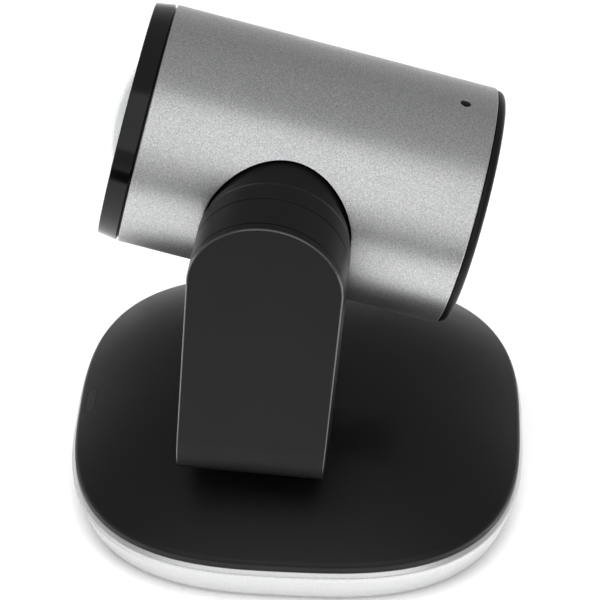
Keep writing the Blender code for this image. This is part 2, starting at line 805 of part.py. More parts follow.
def head_ends(frame):
    inner = HEAD_RADIUS - HEAD_WALL - GAP
    back = -HEAD_FRONT + BEZEL_DEPTH
    rim = HEAD_RADIUS - 0.0001
    mouth = inner - 0.0015
    turned(
        "front_bezel",
        [
            (inner, back + 0.0045),
            (inner, back),
            (rim, back),
            (rim - 0.0004, -HEAD_FRONT + 0.0009),
            (rim - 0.0012, -HEAD_FRONT),
            (mouth, -HEAD_FRONT),
            (mouth, back + 0.0045),
        ],
        frame,
        "black_gloss",
        "Y",
    )
    face = -HEAD_FRONT + 0.0024
    tube(
        "front_faceplate",
        mouth - GAP,
        LENS_WINDOW_RADIUS + GAP,
        face,
        face + 0.0015,
        frame,
        "black_gloss",
        "Y",
        segments=40,
    )
    lens_window(frame, face)
    cap_profile = [
        (0, HEAD_REAR),
        (CAP_RADIUS - CAP_ROUND, HEAD_REAR),
        (CAP_RADIUS - 0.3 * CAP_ROUND, HEAD_REAR - 0.3 * CAP_ROUND),
        (CAP_RADIUS, HEAD_REAR - CAP_ROUND),
        (CAP_RADIUS, SHELL_REAR + GAP),
        (inner, SHELL_REAR + GAP),
        (inner, SHELL_REAR - 0.0045),
        (inner - 0.0018, SHELL_REAR - 0.0045),
        (inner - 0.0018, HEAD_REAR - 0.0020),
        (0, HEAD_REAR - 0.0020),
    ]
    cap = turned("rear_cap", cap_profile, frame, "black_satin", "Y", ring=False)
    for index, angle in enumerate((90, 210, 330), start=1):
        reach = CAP_RADIUS * 0.76
        place = (reach * math.cos(math.radians(angle)), reach * math.sin(math.radians(angle)))
        ends = (HEAD_REAR - 0.0010, HEAD_REAR + 0.001)
        recess = rod(f"rear_screw_recess_{index}", 0.0019, *ends, frame, facing="Y", centre=place)
        cut(cap, recess)
        head = (HEAD_REAR - 0.0008, HEAD_REAR - 0.0002)
        rod(f"rear_screw_{index}", 0.0015, *head, frame, "steel", "Y", place, segments=16)


def lens_window(frame, face):
    """A thin domed glass: two arcs that meet in a cylindrical rim."""
    thickness = 0.0017
    back = face + 0.0010
    sphere = (LENS_WINDOW_RADIUS**2 + LENS_WINDOW_BULGE**2) / (2 * LENS_WINDOW_BULGE)
    reach = math.asin(LENS_WINDOW_RADIUS / sphere)
    inner_sphere = sphere - thickness
    centre = face - LENS_WINDOW_BULGE + sphere
    steps = 6
    inner_reach = math.acos((centre - back) / inner_sphere)

    def on_sphere(radius, angle):
        return (radius * math.sin(angle), centre - radius * math.cos(angle))

    front = [on_sphere(sphere, reach * i / steps) for i in range(steps, -1, -1)]
    rear = [on_sphere(inner_sphere, inner_reach * i / steps) for i in range(steps + 1)]
    profile = rear + [(LENS_WINDOW_RADIUS, back)] + front
    turned("lens_window", profile, frame, "clear_glass", "Y", ring=False)


def head_chassis(frame):
    """A U-shaped bracket: two side plates joined by a rear wall."""
    outer = CHASSIS_X + CHASSIS_THICKNESS
    half_height = 0.0135
    rear = 0.0335
    front = -0.0220
    side = box(
        "head_chassis", (CHASSIS_X, front, -half_height), (outer, rear, half_height), frame, "aluminium"
    )
    wall = box(
        "chassis_wall",
        (-CHASSIS_X - 0.001, rear - 0.0020, -half_height + 0.001),
        (CHASSIS_X + 0.001, rear - 0.0001, half_height - 0.001),
        frame,
    )
    far_side = box(
        "chassis_far_side", (-outer, front, -half_height), (-CHASSIS_X, rear, half_height), frame
    )
    join(side, wall, far_side)


def tilt_shaft(frame):
    flange = CHASSIS_X + CHASSIS_THICKNESS + GAP
    end = ARM_OUTER - ARM_WALL - HEAD_OFFSET - 0.0012
    bore = TILT_SHAFT_RADIUS - SHAFT_WALL
    profile = [
        (TILT_SHAFT_RADIUS, end),
        (TILT_SHAFT_RADIUS, HUB_INNER - GAP),
        (TILT_SHAFT_RADIUS + 0.0030, HUB_INNER - GAP),
        (TILT_SHAFT_RADIUS + 0.0030, flange),
        (bore, flange),
        (bore, end),
    ]
    turned("tilt_shaft", profile, frame, "steel", "X", segments=32)


def optics(frame, zoom_frame, focus_frame):
    inner = BARREL_RADIUS - BARREL_WALL
    front = -HEAD_FRONT + 0.0058
    turned(
        "lens_barrel",
        [
            (BARREL_RADIUS, BARREL_BACK),
            (BARREL_RADIUS, front + 0.0018),
            (BARREL_RADIUS + 0.0040, front + 0.0018),
            (BARREL_RADIUS + 0.0040, front),
            (inner, front),
            (inner, BARREL_BACK),
        ],
        frame,
        "black_satin",
        "Y",
        segments=32,
    )
    lens("objective_lens", inner - GAP, front + 0.0010, 0.0052, frame)
    rod_reach = inner - 0.0030
    rod_front = front + 0.0080
    for name, side in (("guide_rod_upper", 1), ("guide_rod_lower", -1)):
        rod(
            name,
            GUIDE_ROD_RADIUS,
            rod_front,
            BARREL_BACK - 0.0006,
            frame,
            "steel",
            "Y",
            (0, side * rod_reach),
            segments=12,
        )
    zoom_front = rod_front + 0.0020
    carriage("zoom_carriage", "zoom_lens", zoom_front, inner, rod_reach, zoom_frame)
    focus_front = BARREL_BACK - 0.0030 - FOCUS_TRAVEL - CARRIAGE_WIDTH
    carriage("focus_carriage", "focus_lens", focus_front, inner, rod_reach, focus_frame)
    for name, start in (("zoom_motor", -0.0280), ("focus_motor", -0.0060)):
        reach = BARREL_RADIUS + 0.0042
        angle = math.radians(128)
        centre = (reach * math.cos(angle), reach * math.sin(angle))
        rod(name, 0.0032, start, start + 0.0140, frame, "steel", "Y", centre, segments=20)


def lens(name, radius, front, thickness, frame):
    """A biconvex element with a short cylindrical edge."""
    edge = thickness * 0.35
    middle = front + thickness / 2
    bulge = (thickness - edge) / 2
    shares = (1.0, 0.75, 0.5, 0.25, 0.0)
    front_arc = [(radius * s, middle - edge / 2 - bulge * (1 - s * s)) for s in shares]
    rear_arc = [(radius * s, middle + edge / 2 + bulge * (1 - s * s)) for s in reversed(shares)]
    turned(name, rear_arc + front_arc, frame, "clear_glass", "Y", ring=False, segments=24)


def carriage(name, lens_name, front, bore, rod_reach, frame):
    """A lens ring that runs on the two guide rods."""
    outer = bore - RUNNING_GAP - 0.0003
    opening = rod_reach - GUIDE_ROD_RADIUS - 0.0022
    ring = [circle(outer), circle(opening)]
    for side in (1, -1):
        ring.append(circle(GUIDE_ROD_RADIUS + RUNNING_GAP, (0, side * rod_reach), 12))
    body = plate(name, ring, front, front + CARRIAGE_WIDTH, frame, "black_satin", "Y")
    lens(lens_name, opening - GAP, front + 0.0008, CARRIAGE_WIDTH - 0.0016, frame)
    return body


def head_electronics(frame):
    sensor_back = BARREL_BACK + 0.0016
    sensor_front = BARREL_BACK + 0.0004
    box(
        "image_sensor", (-0.006, sensor_front, -0.005), (0.006, sensor_back, 0.005), frame, "dark_window"
    )
    board = sensor_back + GAP
    widest = CHASSIS_X - GAP
    half, top = min(0.0145, widest), 0.0130
    box(
        "sensor_board",
        (-half, board, -top),
        (half, board + BOARD_THICKNESS, top),
        frame,
        "circuit_board",
    )
    sink_front = board + BOARD_THICKNESS + 0.0008
    outline = comb_outline(0.0130, 0.0020, 0.0062, 6)
    plate(
        "heat_sink",
        [[(x, y + sink_front) for x, y in outline]],
        -0.0120,
        0.0120,
        frame,
        "aluminium",
    )
    board = sink_front + 0.0062 + 0.0009
    half, top = min(0.0150, widest), 0.0125
    box(
        "processor_board",
        (-half, board, -top),
        (half, board + BOARD_THICKNESS, top),
        frame,
        "circuit_board",
    )


def comb_outline(half_width, back, depth, fins):
    """A heat sink's section: a flat back and even fins."""
    pitch = 2 * half_width / (2 * fins - 1)
    points = [(-half_width, 0), (half_width, 0)]
    for fin in range(fins):
        right = half_width - 2 * pitch * fin
        points += [(right, depth), (right - pitch, depth)]
        if fin < fins - 1:
            points += [(right - pitch, back), (right - 2 * pitch, back)]
    return points


def drives(pan_axis, tilt_axis):
    """Each axis has a gear on its shaft and a pinion on its motor, in mesh at the rest pose's angles."""
    down = math.radians(-90)
    bore = PAN_SHAFT_RADIUS + GAP
    gear("pan_gear", GEAR_TEETH, down - PAN_REST, bore, PAN_GEAR_BOTTOM, pan_axis, "gear_plastic", "Z", (0, 0))
    mate = down + math.pi + math.pi / PINION_TEETH
    place = pinion_centre((0, 0), down)
    gear("pan_pinion", PINION_TEETH, mate, PINION_BORE, PAN_GEAR_BOTTOM, None, "brass", "Z", place)
    bore = TILT_SHAFT_RADIUS + GAP
    low = TILT_GEAR_X - HEAD_OFFSET
    gear("tilt_gear", GEAR_TEETH, down + LENS_RAISED, bore, low, tilt_axis, "gear_plastic", "X", (0, 0))
    place = pinion_centre((PIVOT_Y, PIVOT_Z), down)
    gear("tilt_pinion", PINION_TEETH, mate, PINION_BORE, TILT_GEAR_X, pan_axis, "brass", "X", place)


def main():
    pan_axis = make_empty("pan_axis", rotation=(0, 0, PAN_REST))
    tilt_axis = make_empty("tilt_axis", pan_axis, (HEAD_OFFSET, PIVOT_Y, PIVOT_Z), (-LENS_RAISED, 0, 0))
    zoom_slide = make_empty("zoom_slide", tilt_axis)
    focus_slide = make_empty("focus_slide", tilt_axis)
    base_shells(None)
    base_feet(None)
    base_insides(None)
    arm_shells(pan_axis)
    arm_insides(pan_axis)
    head_shell(tilt_axis)
    head_ends(tilt_axis)
    head_chassis(tilt_axis)
    tilt_shaft(tilt_axis)
    optics(tilt_axis, zoom_slide, focus_slide)
    head_electronics(tilt_axis)
    drives(pan_axis, tilt_axis)


clear_scene()
PIECES = make_collection("ptz_camera")
HELPERS = make_collection("cutters")
MATERIALS = make_materials()
main()
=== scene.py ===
import json
import math

import bmesh
import bpy
from mathutils import Matrix, Vector


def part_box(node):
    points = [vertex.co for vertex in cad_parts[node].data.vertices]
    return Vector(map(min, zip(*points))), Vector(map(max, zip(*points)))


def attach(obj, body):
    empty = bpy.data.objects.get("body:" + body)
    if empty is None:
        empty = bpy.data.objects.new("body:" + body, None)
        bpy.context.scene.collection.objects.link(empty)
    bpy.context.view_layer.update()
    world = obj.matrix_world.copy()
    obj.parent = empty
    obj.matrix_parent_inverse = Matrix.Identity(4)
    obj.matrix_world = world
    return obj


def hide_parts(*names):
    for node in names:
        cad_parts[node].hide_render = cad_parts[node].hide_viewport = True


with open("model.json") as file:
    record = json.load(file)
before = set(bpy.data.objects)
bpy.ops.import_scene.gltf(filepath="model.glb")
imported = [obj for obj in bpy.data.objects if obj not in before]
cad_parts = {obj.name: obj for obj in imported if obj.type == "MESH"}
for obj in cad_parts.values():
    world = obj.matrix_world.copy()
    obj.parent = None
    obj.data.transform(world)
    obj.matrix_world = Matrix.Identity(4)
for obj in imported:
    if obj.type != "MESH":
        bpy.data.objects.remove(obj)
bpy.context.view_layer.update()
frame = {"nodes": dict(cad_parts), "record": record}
nodes = frame["nodes"]
scene = bpy.context.scene
mm = 0.001
near = 0.02 * mm  # a point this close to a surface counts as on it
clearance = 0.3 * mm  # between fixed pieces
fullTurn = 2 * math.pi

joints = {joint["name"]: joint for joint in frame["record"]["behaviour"]["joints"]}


# places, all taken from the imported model

def axesMatrix(xAxis, yAxis, origin):
    x = Vector(xAxis).normalized()
    y = Vector(yAxis).normalized()
    matrix = Matrix((x, y, x.cross(y))).transposed().to_4x4()
    matrix.translation = Vector(origin)
    return matrix


def localBox(node, matrix):  # a node's corners measured along a body's own axes
    back = matrix.inverted()
    points = [back @ vertex.co for vertex in nodes[node].data.vertices]
    low = Vector([min(point[i] for point in points) for i in range(3)])
    high = Vector([max(point[i] for point in points) for i in range(3)])
    return low, high


tiltAxis = Vector(joints["tilt"]["axis"])
tiltPoint = Vector(joints["tilt"]["pos_m"])
baseAxes = Matrix.Identity(4)
armAxes = axesMatrix(-tiltAxis, Vector((0, 0, 1)).cross(-tiltAxis), (0, 0, 0))  # X out through the arm's face
headAxes = axesMatrix(-tiltAxis, joints["zoom"]["axis"], tiltPoint)  # Y runs back along the barrel
pivot = armAxes.inverted() @ tiltPoint


# camera and lights

cameraPlace = {
    "azimuth": 92.56,
    "elevation": 40.04,
    "roll": 0.657,
    "distance": 0.6964,
    "target": 0.070,  # height looked at
    "right": 0.00029,
    "up": -0.01351,
    "lens": 152.36,
    "sensor": 36,
}


def viewAxes(azimuth, elevation):
    a, e = math.radians(azimuth), math.radians(elevation)
    back = Vector((math.sin(a) * math.cos(e), -math.cos(a) * math.cos(e), math.sin(e)))
    right = Vector((0, 0, 1)).cross(back).normalized()
    return right, back.cross(right), back


def placeCamera(place):
    right, up, back = viewAxes(place["azimuth"], place["elevation"])
    look = Vector((0, 0, place["target"])) + place["right"] * right + place["up"] * up
    lens = bpy.data.cameras.new("camera")
    lens.lens = place["lens"]
    lens.sensor_width = place["sensor"]
    lens.clip_start = 0.01
    camera = bpy.data.objects.new("camera", lens)
    scene.collection.objects.link(camera)
    turn = Matrix((right, up, back)).transposed() @ Matrix.Rotation(math.radians(place["roll"]), 3, "Z")
    camera.matrix_world = Matrix.Translation(look + place["distance"] * back) @ turn.to_4x4()
    scene.camera = camera


softboxes = {
    # lights everything but the reflections, from almost straight above
    "overheadSoftbox": {
        "azimuth": 90, "elevation": 80, "distance": 0.75, "size": (0.7, 0.7), "watts": 7.4, "glossy": False,
        "diffuse": True,
    },
    # the broad band along the barrel
    "sideSoftbox": {
        "azimuth": 92, "elevation": 39, "distance": 1.3, "size": (1.8, 1.32), "watts": 6.3, "glossy": True,
        "diffuse": False,
    },
    # a lower strip that only the rear of the barrel sees
    "rearStrip": {
        "azimuth": 112, "elevation": 4, "distance": 1.0, "size": (0.62, 0.24), "watts": 0.3, "glossy": True,
        "diffuse": False,
    },
}


def addSoftbox(name, settings):
    centre = Vector((0, 0, 0.07))
    right, up, back = viewAxes(settings["azimuth"], settings["elevation"])
    lamp = bpy.data.lights.new(name, "AREA")
    lamp.shape = "RECTANGLE"
    lamp.size, lamp.size_y = settings["size"]
    lamp.energy = settings["watts"]
    holder = bpy.data.objects.new(name, lamp)
    scene.collection.objects.link(holder)
    turn = Matrix((right, up, back)).transposed().to_4x4()
    holder.matrix_world = Matrix.Translation(centre + settings["distance"] * back) @ turn
    holder.visible_glossy = settings["glossy"]
    holder.visible_diffuse = settings["diffuse"]
    holder.visible_camera = False


# material tools

def linearColour(text):  # an sRGB hex colour as the linear values that a shader takes
    channels = [int(text[i:i + 2], 16) / 255 for i in (1, 3, 5)]
    return [c / 12.92 if c <= 0.04045 else ((c + 0.055) / 1.055) ** 2.4 for c in channels] + [1]


def addNode(tree, kind, values=None, links=None, **settings):
    node = tree.nodes.new(kind)
    for name, value in settings.items():
        setattr(node, name, value)
    for socket, value in (values or {}).items():
        node.inputs[socket].default_value = value
    for socket, source in (links or {}).items():
        tree.links.new(source, node.inputs[socket])
    return node


def perMetre(millimetres):  # a texture scale for a pattern of this real size
    return 1 / (millimetres * mm)


def makeFinish(name, look):
    material = bpy.data.materials.new(name)
    material.use_nodes = True
    tree = material.node_tree
    shader = tree.nodes["Principled BSDF"]
    coords = addNode(tree, "ShaderNodeTexCoord").outputs["Object"]
    stretched = addNode(
        tree, "ShaderNodeMapping",
        {"Scale": look.get("stretch", (1, 1, 1)), "Rotation": look.get("turn", (0, 0, 0))},
        {"Vector": coords},
    )
    grainKind = look.get("pattern", "ShaderNodeTexNoise")
    grain = addNode(
        tree, grainKind, {"Scale": perMetre(look["grain"])}, {"Vector": stretched.outputs["Vector"]},
    )
    if grainKind == "ShaderNodeTexNoise":
        grain.inputs["Detail"].default_value = 2
    half = look.get("spread", 0.5)  # a smaller spread gives the grain more contrast
    speckle = addNode(
        tree, "ShaderNodeMapRange", {"From Min": 0.5 - half, "From Max": 0.5 + half},
        {"Value": grain.outputs[0]},
    )
    patches = addNode(
        tree, "ShaderNodeTexNoise", {"Scale": perMetre(look["patch"]), "Detail": 3, "Roughness": 0.6},
        {"Vector": coords},
    )
    colour = addNode(
        tree, "ShaderNodeMix", {6: linearColour(look["dark"]), 7: linearColour(look["light"])}, {
            0: speckle.outputs["Result"],
        },
        data_type="RGBA",
    )
    tree.links.new(colour.outputs[2], shader.inputs["Base Color"])
    roughness = addNode(
        tree, "ShaderNodeMapRange",
        {"From Min": 0.35, "From Max": 0.65, "To Min": look["roughness"][0], "To Max": look["roughness"][1]},
        {"Value": patches.outputs["Fac"]},
    )
    tree.links.new(roughness.outputs["Result"], shader.inputs["Roughness"])
    if look["relief"]:
        bump = addNode(
            tree, "ShaderNodeBump", {"Strength": 1, "Distance": look["relief"] * mm},
            {"Height": grain.outputs[0]},
        )
        tree.links.new(bump.outputs["Normal"], shader.inputs["Normal"])
    for socket, value in look.get("fixed", {}).items():
        shader.inputs[socket].default_value = value
    return material


finishes = {
    # bead-blasted and clear anodised aluminium: an even grey metal with a fine sparkle
    "blastedAluminium": {
        "dark": "#A3A4A5", "light": "#DFDFE0", "roughness": (0.34, 0.39), "grain": 0.32, "spread": 0.22,
        "relief": 0.012, "patch": 30, "fixed": {"Metallic": 1},
    },
    # the same finish on the wider die-cast base ring, a little paler
    "blastedCasting": {
        "dark": "#D2D3D3", "light": "#EBEBEB", "roughness": (0.38, 0.44), "grain": 0.5, "relief": 0.012,
        "patch": 22, "fixed": {"Metallic": 1},
    },
    # ABS from a spark-eroded mould: black with a soft sheen and a fine pebble
    "satinAbs": {
        "dark": "#080808", "light": "#0E0E0E", "roughness": (0.35, 0.42), "grain": 0.5, "relief": 0.006,
        "patch": 18, "fixed": {"IOR": 1.5, "Specular IOR Level": 0.2},
    },
    # the same ABS, smoother and glossier, on the arm face's edge bevel, with a lighter colour painted on
    # there as a bright highlight line
    "paintedHighlightAbs": {
        "dark": "#161616", "light": "#202020", "roughness": (0.12, 0.18), "grain": 0.5, "relief": 0.0,
        "patch": 18,
        "fixed": {"IOR": 1.5, "Specular IOR Level": 1.0, "Coat Weight": 0.8, "Coat Roughness": 0.1},
    },
    # ABS from a finer mould, on the crown
    "crownAbs": {
        "dark": "#090909", "light": "#0F0F0F", "roughness": (0.34, 0.42), "grain": 0.45, "relief": 0.004,
        "patch": 26, "fixed": {"IOR": 1.5, "Specular IOR Level": 0.3},
    },
    # polished-mould ABS: near-black with mirror reflections and faint wipe marks
    "polishedAbs": {
        "dark": "#060607", "light": "#09090B", "roughness": (0.10, 0.16), "grain": 3.0, "relief": 0.0,
        "patch": 9, "fixed": {"IOR": 1.5, "Specular IOR Level": 0.32},
    },
    # infrared-pass acrylic: deep red-black and glossy
    "tintedAcrylic": {
        "dark": "#0A0406", "light": "#16080C", "roughness": (0.04, 0.08), "grain": 2.0, "relief": 0.0,
        "patch": 6, "fixed": {"IOR": 1.49},
    },
    # black anodised barrel, turned: fine rings that break up the light
    "turnedBlack": {
        "dark": "#0B0B0C", "light": "#17171A", "roughness": (0.34, 0.46), "grain": 0.35,
        "stretch": (1, 6, 1), "relief": 0.004, "patch": 7, "fixed": {"Metallic": 0.6},
    },
    # zinc-plated steel, drawn and tumbled
    "platedSteel": {
        "dark": "#9A9C9F", "light": "#C4C6C9", "roughness": (0.24, 0.36), "grain": 0.3,
        "stretch": (1, 1, 0.12), "relief": 0.003, "patch": 5, "fixed": {"Metallic": 1},
    },
    # pressed mild-steel ballast: rolled, dull, a little mottled
    "rolledSteel": {
        "dark": "#76787B", "light": "#9B9DA0", "roughness": (0.38, 0.55), "grain": 1.2,
        "stretch": (1, 0.08, 1), "relief": 0.006, "patch": 14, "fixed": {"Metallic": 1},
    },
    # cast and tumbled aluminium for brackets and the heat sink
    "castAluminium": {
        "dark": "#8E9092", "light": "#B9BBBD", "roughness": (0.42, 0.56), "grain": 0.8, "relief": 0.010,
        "patch": 8, "fixed": {"Metallic": 1},
    },
    # turned brass, slightly dulled
    "turnedBrass": {
        "dark": "#A88545", "light": "#D2B06A", "roughness": (0.22, 0.34), "grain": 0.3,
        "stretch": (0.2, 0.2, 1), "relief": 0.003, "patch": 4, "fixed": {"Metallic": 1},
    },
    # moulded acetal gears: milky, waxy, slightly translucent
    "mouldedAcetal": {
        "dark": "#DDDACE", "light": "#EFEDE4", "roughness": (0.34, 0.46), "grain": 0.9, "relief": 0.002,
        "patch": 6,
        "fixed": {"IOR": 1.48, "Subsurface Weight": 0.15, "Subsurface Radius": (0.002, 0.002, 0.0015)},
    },
    # moulded silicone rubber: matt, with dust in its pores
    "siliconeRubber": {
        "dark": "#161616", "light": "#262626", "roughness": (0.72, 0.86), "grain": 0.6, "relief": 0.012,
        "patch": 3, "fixed": {"IOR": 1.43},
    },
    # green solder mask over copper tracks: the tracks show as slightly raised, paler cells
    "solderMask": {
        "dark": "#0A3320", "light": "#1A5A38", "roughness": (0.22, 0.34), "grain": 1.6,
        "pattern": "ShaderNodeTexVoronoi", "relief": 0.02, "patch": 5, "fixed": {"IOR": 1.55},
    },
    # glass-filled nylon socket bodies
    "filledNylon": {
        "dark": "#141414", "light": "#202020", "roughness": (0.48, 0.62), "grain": 0.35, "relief": 0.008,
        "patch": 4, "fixed": {"IOR": 1.53},
    },
    # gold-flashed contacts
    "goldFlash": {
        "dark": "#C99A3C", "light": "#E8C46A", "roughness": (0.18, 0.28), "grain": 0.4, "relief": 0.001,
        "patch": 2, "fixed": {"Metallic": 1},
    },
}


def makeGlass(name, look):  # polished optical glass: clear, with the thin coating's faint colour
    material = bpy.data.materials.new(name)
    material.use_nodes = True
    tree = material.node_tree
    shader = tree.nodes["Principled BSDF"]
    coords = addNode(tree, "ShaderNodeTexCoord").outputs["Object"]
    wipe = addNode(
        tree, "ShaderNodeTexNoise", {"Scale": perMetre(look["wipe"]), "Detail": 4}, {"Vector": coords},
    )
    roughness = addNode(
        tree, "ShaderNodeMapRange",
        {"From Min": 0.45, "From Max": 0.75, "To Min": look["roughness"][0], "To Max": look["roughness"][1]},
        {"Value": wipe.outputs["Fac"]},
    )
    tree.links.new(roughness.outputs["Result"], shader.inputs["Roughness"])
    shader.inputs["Base Color"].default_value = linearColour(look["colour"])
    for socket, value in look["fixed"].items():
        shader.inputs[socket].default_value = value
    return material


glasses = {
    "domeGlass": {
        "colour": "#E4E6E7", "wipe": 14, "roughness": (0.0, 0.01),
        "fixed": {"IOR": 1.46, "Transmission Weight": 1},
    },
    "coatedLens": {
        "colour": "#DCE8F4", "wipe": 9, "roughness": (0.0, 0.02),
        "fixed": {"IOR": 1.62, "Transmission Weight": 0.9, "Thin Film Thickness": 330, "Thin Film IOR": 1.38},
    },
}

materials = {name: makeFinish(name, look) for name, look in finishes.items()}
materials.update({name: makeGlass(name, look) for name, look in glasses.items()})
print("materials made:", len(materials))


# modelling tools

turningAxes = {
    "X": ((1, 0, 0), lambda radius, height: (height, radius, 0)),
    "Y": ((0, 1, 0), lambda radius, height: (radius, height, 0)),
    "Z": ((0, 0, 1), lambda radius, height: (radius, 0, height)),
}


def turnProfile(profile, axis="Y", steps=192, centre=(0, 0, 0), ring=True):
    # profile is (radius, distance along the axis); a ring closes on itself
    bm = bmesh.new()
    direction, place = turningAxes[axis]
    points = [bm.verts.new(place(radius, height)) for radius, height in profile]
    edges = [bm.edges.new(pair) for pair in zip(points, points[1:])]
    if ring:
        edges.append(bm.edges.new((points[-1], points[0])))
    bmesh.ops.spin(
        bm, geom=points + edges, cent=(0, 0, 0), axis=direction, angle=fullTurn, steps=steps,
        use_merge=True,
    )
    bmesh.ops.remove_doubles(bm, verts=bm.verts, dist=1e-7)
    bmesh.ops.recalc_face_normals(bm, faces=bm.faces)
    bmesh.ops.translate(bm, vec=centre, verts=bm.verts)
    return bm


def makeRod(radius, low, high, axis="Z", centre=(0, 0, 0), steps=48):
    return turnProfile([(0, low), (radius, low), (radius, high), (0, high)], axis, steps, centre, ring=False)


def makeBlock(low, high):
    bm = bmesh.new()
    bmesh.ops.create_cube(bm, size=1)
    bmesh.ops.scale(bm, vec=Vector(high) - Vector(low), verts=bm.verts)
    bmesh.ops.translate(bm, vec=(Vector(low) + Vector(high)) / 2, verts=bm.verts)
    return bm


def roundEdges(bm, width, segments=3, angle=30, where=None, material=-1):
    chosen = []
    for edge in bm.edges:
        if not edge.is_manifold or edge.calc_face_angle() < math.radians(angle):
            continue
        if where is None or all(where(vertex.co) for vertex in edge.verts):
            chosen.append(edge)
    bmesh.ops.bevel(
        bm, geom=chosen, offset=width, offset_type="OFFSET", segments=segments, profile=0.5,
        affect="EDGES", material=material, clamp_overlap=True,
    )
    return bm


def standIn(bm):
    mesh = bpy.data.meshes.new("standIn")
    bmesh.ops.recalc_face_normals(bm, faces=bm.faces)
    bm.to_mesh(mesh)
    bm.free()
    obj = bpy.data.objects.new("standIn", mesh)
    scene.collection.objects.link(obj)
    return obj


def carve(bm, others, operation="DIFFERENCE"):
    body = standIn(bm)
    helpers = [standIn(other) for other in others]
    for helper in helpers:
        modifier = body.modifiers.new("carve", "BOOLEAN")
        modifier.operation = operation
        modifier.solver = "EXACT"
        modifier.object = helper
    result = bmesh.new()
    result.from_object(body, bpy.context.evaluated_depsgraph_get())
    for obj in [body] + helpers:
        mesh = obj.data
        bpy.data.objects.remove(obj)
        bpy.data.meshes.remove(mesh)
    bmesh.ops.remove_doubles(result, verts=result.verts, dist=1e-6)
    return result


def pushOut(bm, faces, step):  # faces drawn out along a step into a closed body
    made = bmesh.ops.extrude_face_region(bm, geom=faces)["geom"]
    verts = [item for item in made if isinstance(item, bmesh.types.BMVert)]
    bmesh.ops.translate(bm, vec=step, verts=verts)
    bmesh.ops.holes_fill(bm, edges=[edge for edge in bm.edges if edge.is_boundary], sides=0)
    bmesh.ops.recalc_face_normals(bm, faces=bm.faces)


def merge(parts):  # several closed shapes as one mesh
    whole = parts[0]
    for part in parts[1:]:
        mesh = bpy.data.meshes.new("part")
        part.to_mesh(mesh)
        part.free()
        whole.from_mesh(mesh)
        bpy.data.meshes.remove(mesh)
    return whole


def finishPiece(name, bm, axes, material, body, stands=(), others=(), sharp=32):
    bm.transform(axes)
    bmesh.ops.remove_doubles(bm, verts=bm.verts, dist=1e-6)
    bmesh.ops.dissolve_degenerate(bm, edges=bm.edges, dist=1e-7)
    bmesh.ops.recalc_face_normals(bm, faces=bm.faces)
    mesh = bpy.data.meshes.new(name)
    bm.to_mesh(mesh)
    bm.free()
    mesh.shade_smooth()
    mesh.set_sharp_from_angle(angle=math.radians(sharp))
    for finish in [material] + list(others):
        mesh.materials.append(materials[finish])
    piece = bpy.data.objects.new(name, mesh)
    scene.collection.objects.link(piece)
    weighted = piece.modifiers.new("even shading", "WEIGHTED_NORMAL")
    weighted.keep_sharp = True
    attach(piece, body)
    if stands:
        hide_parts(*stands)
    return piece


# stage

def makeFlag():
    # a low black card in front of the arm's side, seen only in reflections, where it leaves a darker band
    look = {
        "dark": "#020202", "light": "#040404", "roughness": (0.9, 0.95), "grain": 5, "relief": 0.0,
        "patch": 60,
    }
    card = makeBlock((0.28, -0.7, 0.0), (0.282, 0.7, 0.066))
    mesh = bpy.data.meshes.new("flag")
    card.to_mesh(mesh)
    card.free()
    mesh.materials.append(makeFinish("blackCard", look))
    flag = bpy.data.objects.new("flag", mesh)
    scene.collection.objects.link(flag)
    flag.visible_camera = False
    flag.visible_diffuse = False
    flag.visible_shadow = False


def makeFloor():
    # matt white paper, with a faint glow that keeps it white under the object
    look = {
        "dark": "#F0F0F0", "light": "#F6F6F6", "roughness": (0.85, 0.95), "grain": 3, "relief": 0.0,
        "patch": 60,
        "fixed": {"Specular IOR Level": 0.0, "Emission Color": (1, 1, 1, 1), "Emission Strength": 0.16},
    }
    bm = bmesh.new()
    bmesh.ops.create_grid(bm, x_segments=8, y_segments=8, size=6)
    mesh = bpy.data.meshes.new("floor")
    bm.to_mesh(mesh)
    bm.free()
    mesh.materials.append(makeFinish("whitePaper", look))
    floor = bpy.data.objects.new("floor", mesh)
    scene.collection.objects.link(floor)


def makeWorld():
    # a light tent: bright low down and dimmest about 33 degrees up, so metal shows soft bands
    world = bpy.data.worlds.new("lightTent")
    scene.world = world
    world.use_nodes = True
    tree = world.node_tree
    direction = addNode(tree, "ShaderNodeTexCoord").outputs["Generated"]
    height = addNode(tree, "ShaderNodeSeparateXYZ", links={"Vector": direction}).outputs["Z"]
    ramp = addNode(tree, "ShaderNodeValToRGB", links={"Fac": height})
    stops = ((0.0, 0.50), (0.08, 0.48), (0.30, 0.40), (0.55, 0.31), (1.0, 0.42))
    elements = ramp.color_ramp.elements
    while len(elements) < len(stops):
        elements.new(1)
    for element, (position, value) in zip(elements, stops):
        element.position = position
        element.color = (value, value, value, 1)
    background = tree.nodes["Background"]
    tree.links.new(ramp.outputs["Color"], background.inputs["Color"])
    background.inputs["Strength"].default_value = 1


placeCamera(cameraPlace)
for name, settings in softboxes.items():
    addSoftbox(name, settings)
makeWorld()
makeFloor()
makeFlag()
scene.view_settings.view_transform = "Standard"
print("camera, lights and floor placed")


# head: turned parts about the barrel's axis

shellLow, shellHigh = localBox("head_shell", headAxes)
headRadius = shellHigh.z
screwLow, screwHigh = localBox("set_screw", headAxes)

headShell = {
    "wall": 2.2 * mm,
    "edge": 0.35 * mm,  # rounding at both ends
    "hubHole": 19.4 * mm,  # radius
    "hubHoleEdge": 0.22 * mm,
    "screwHole": 1.38 * mm,
    "screwHoleEdge": 0.3 * mm,
}


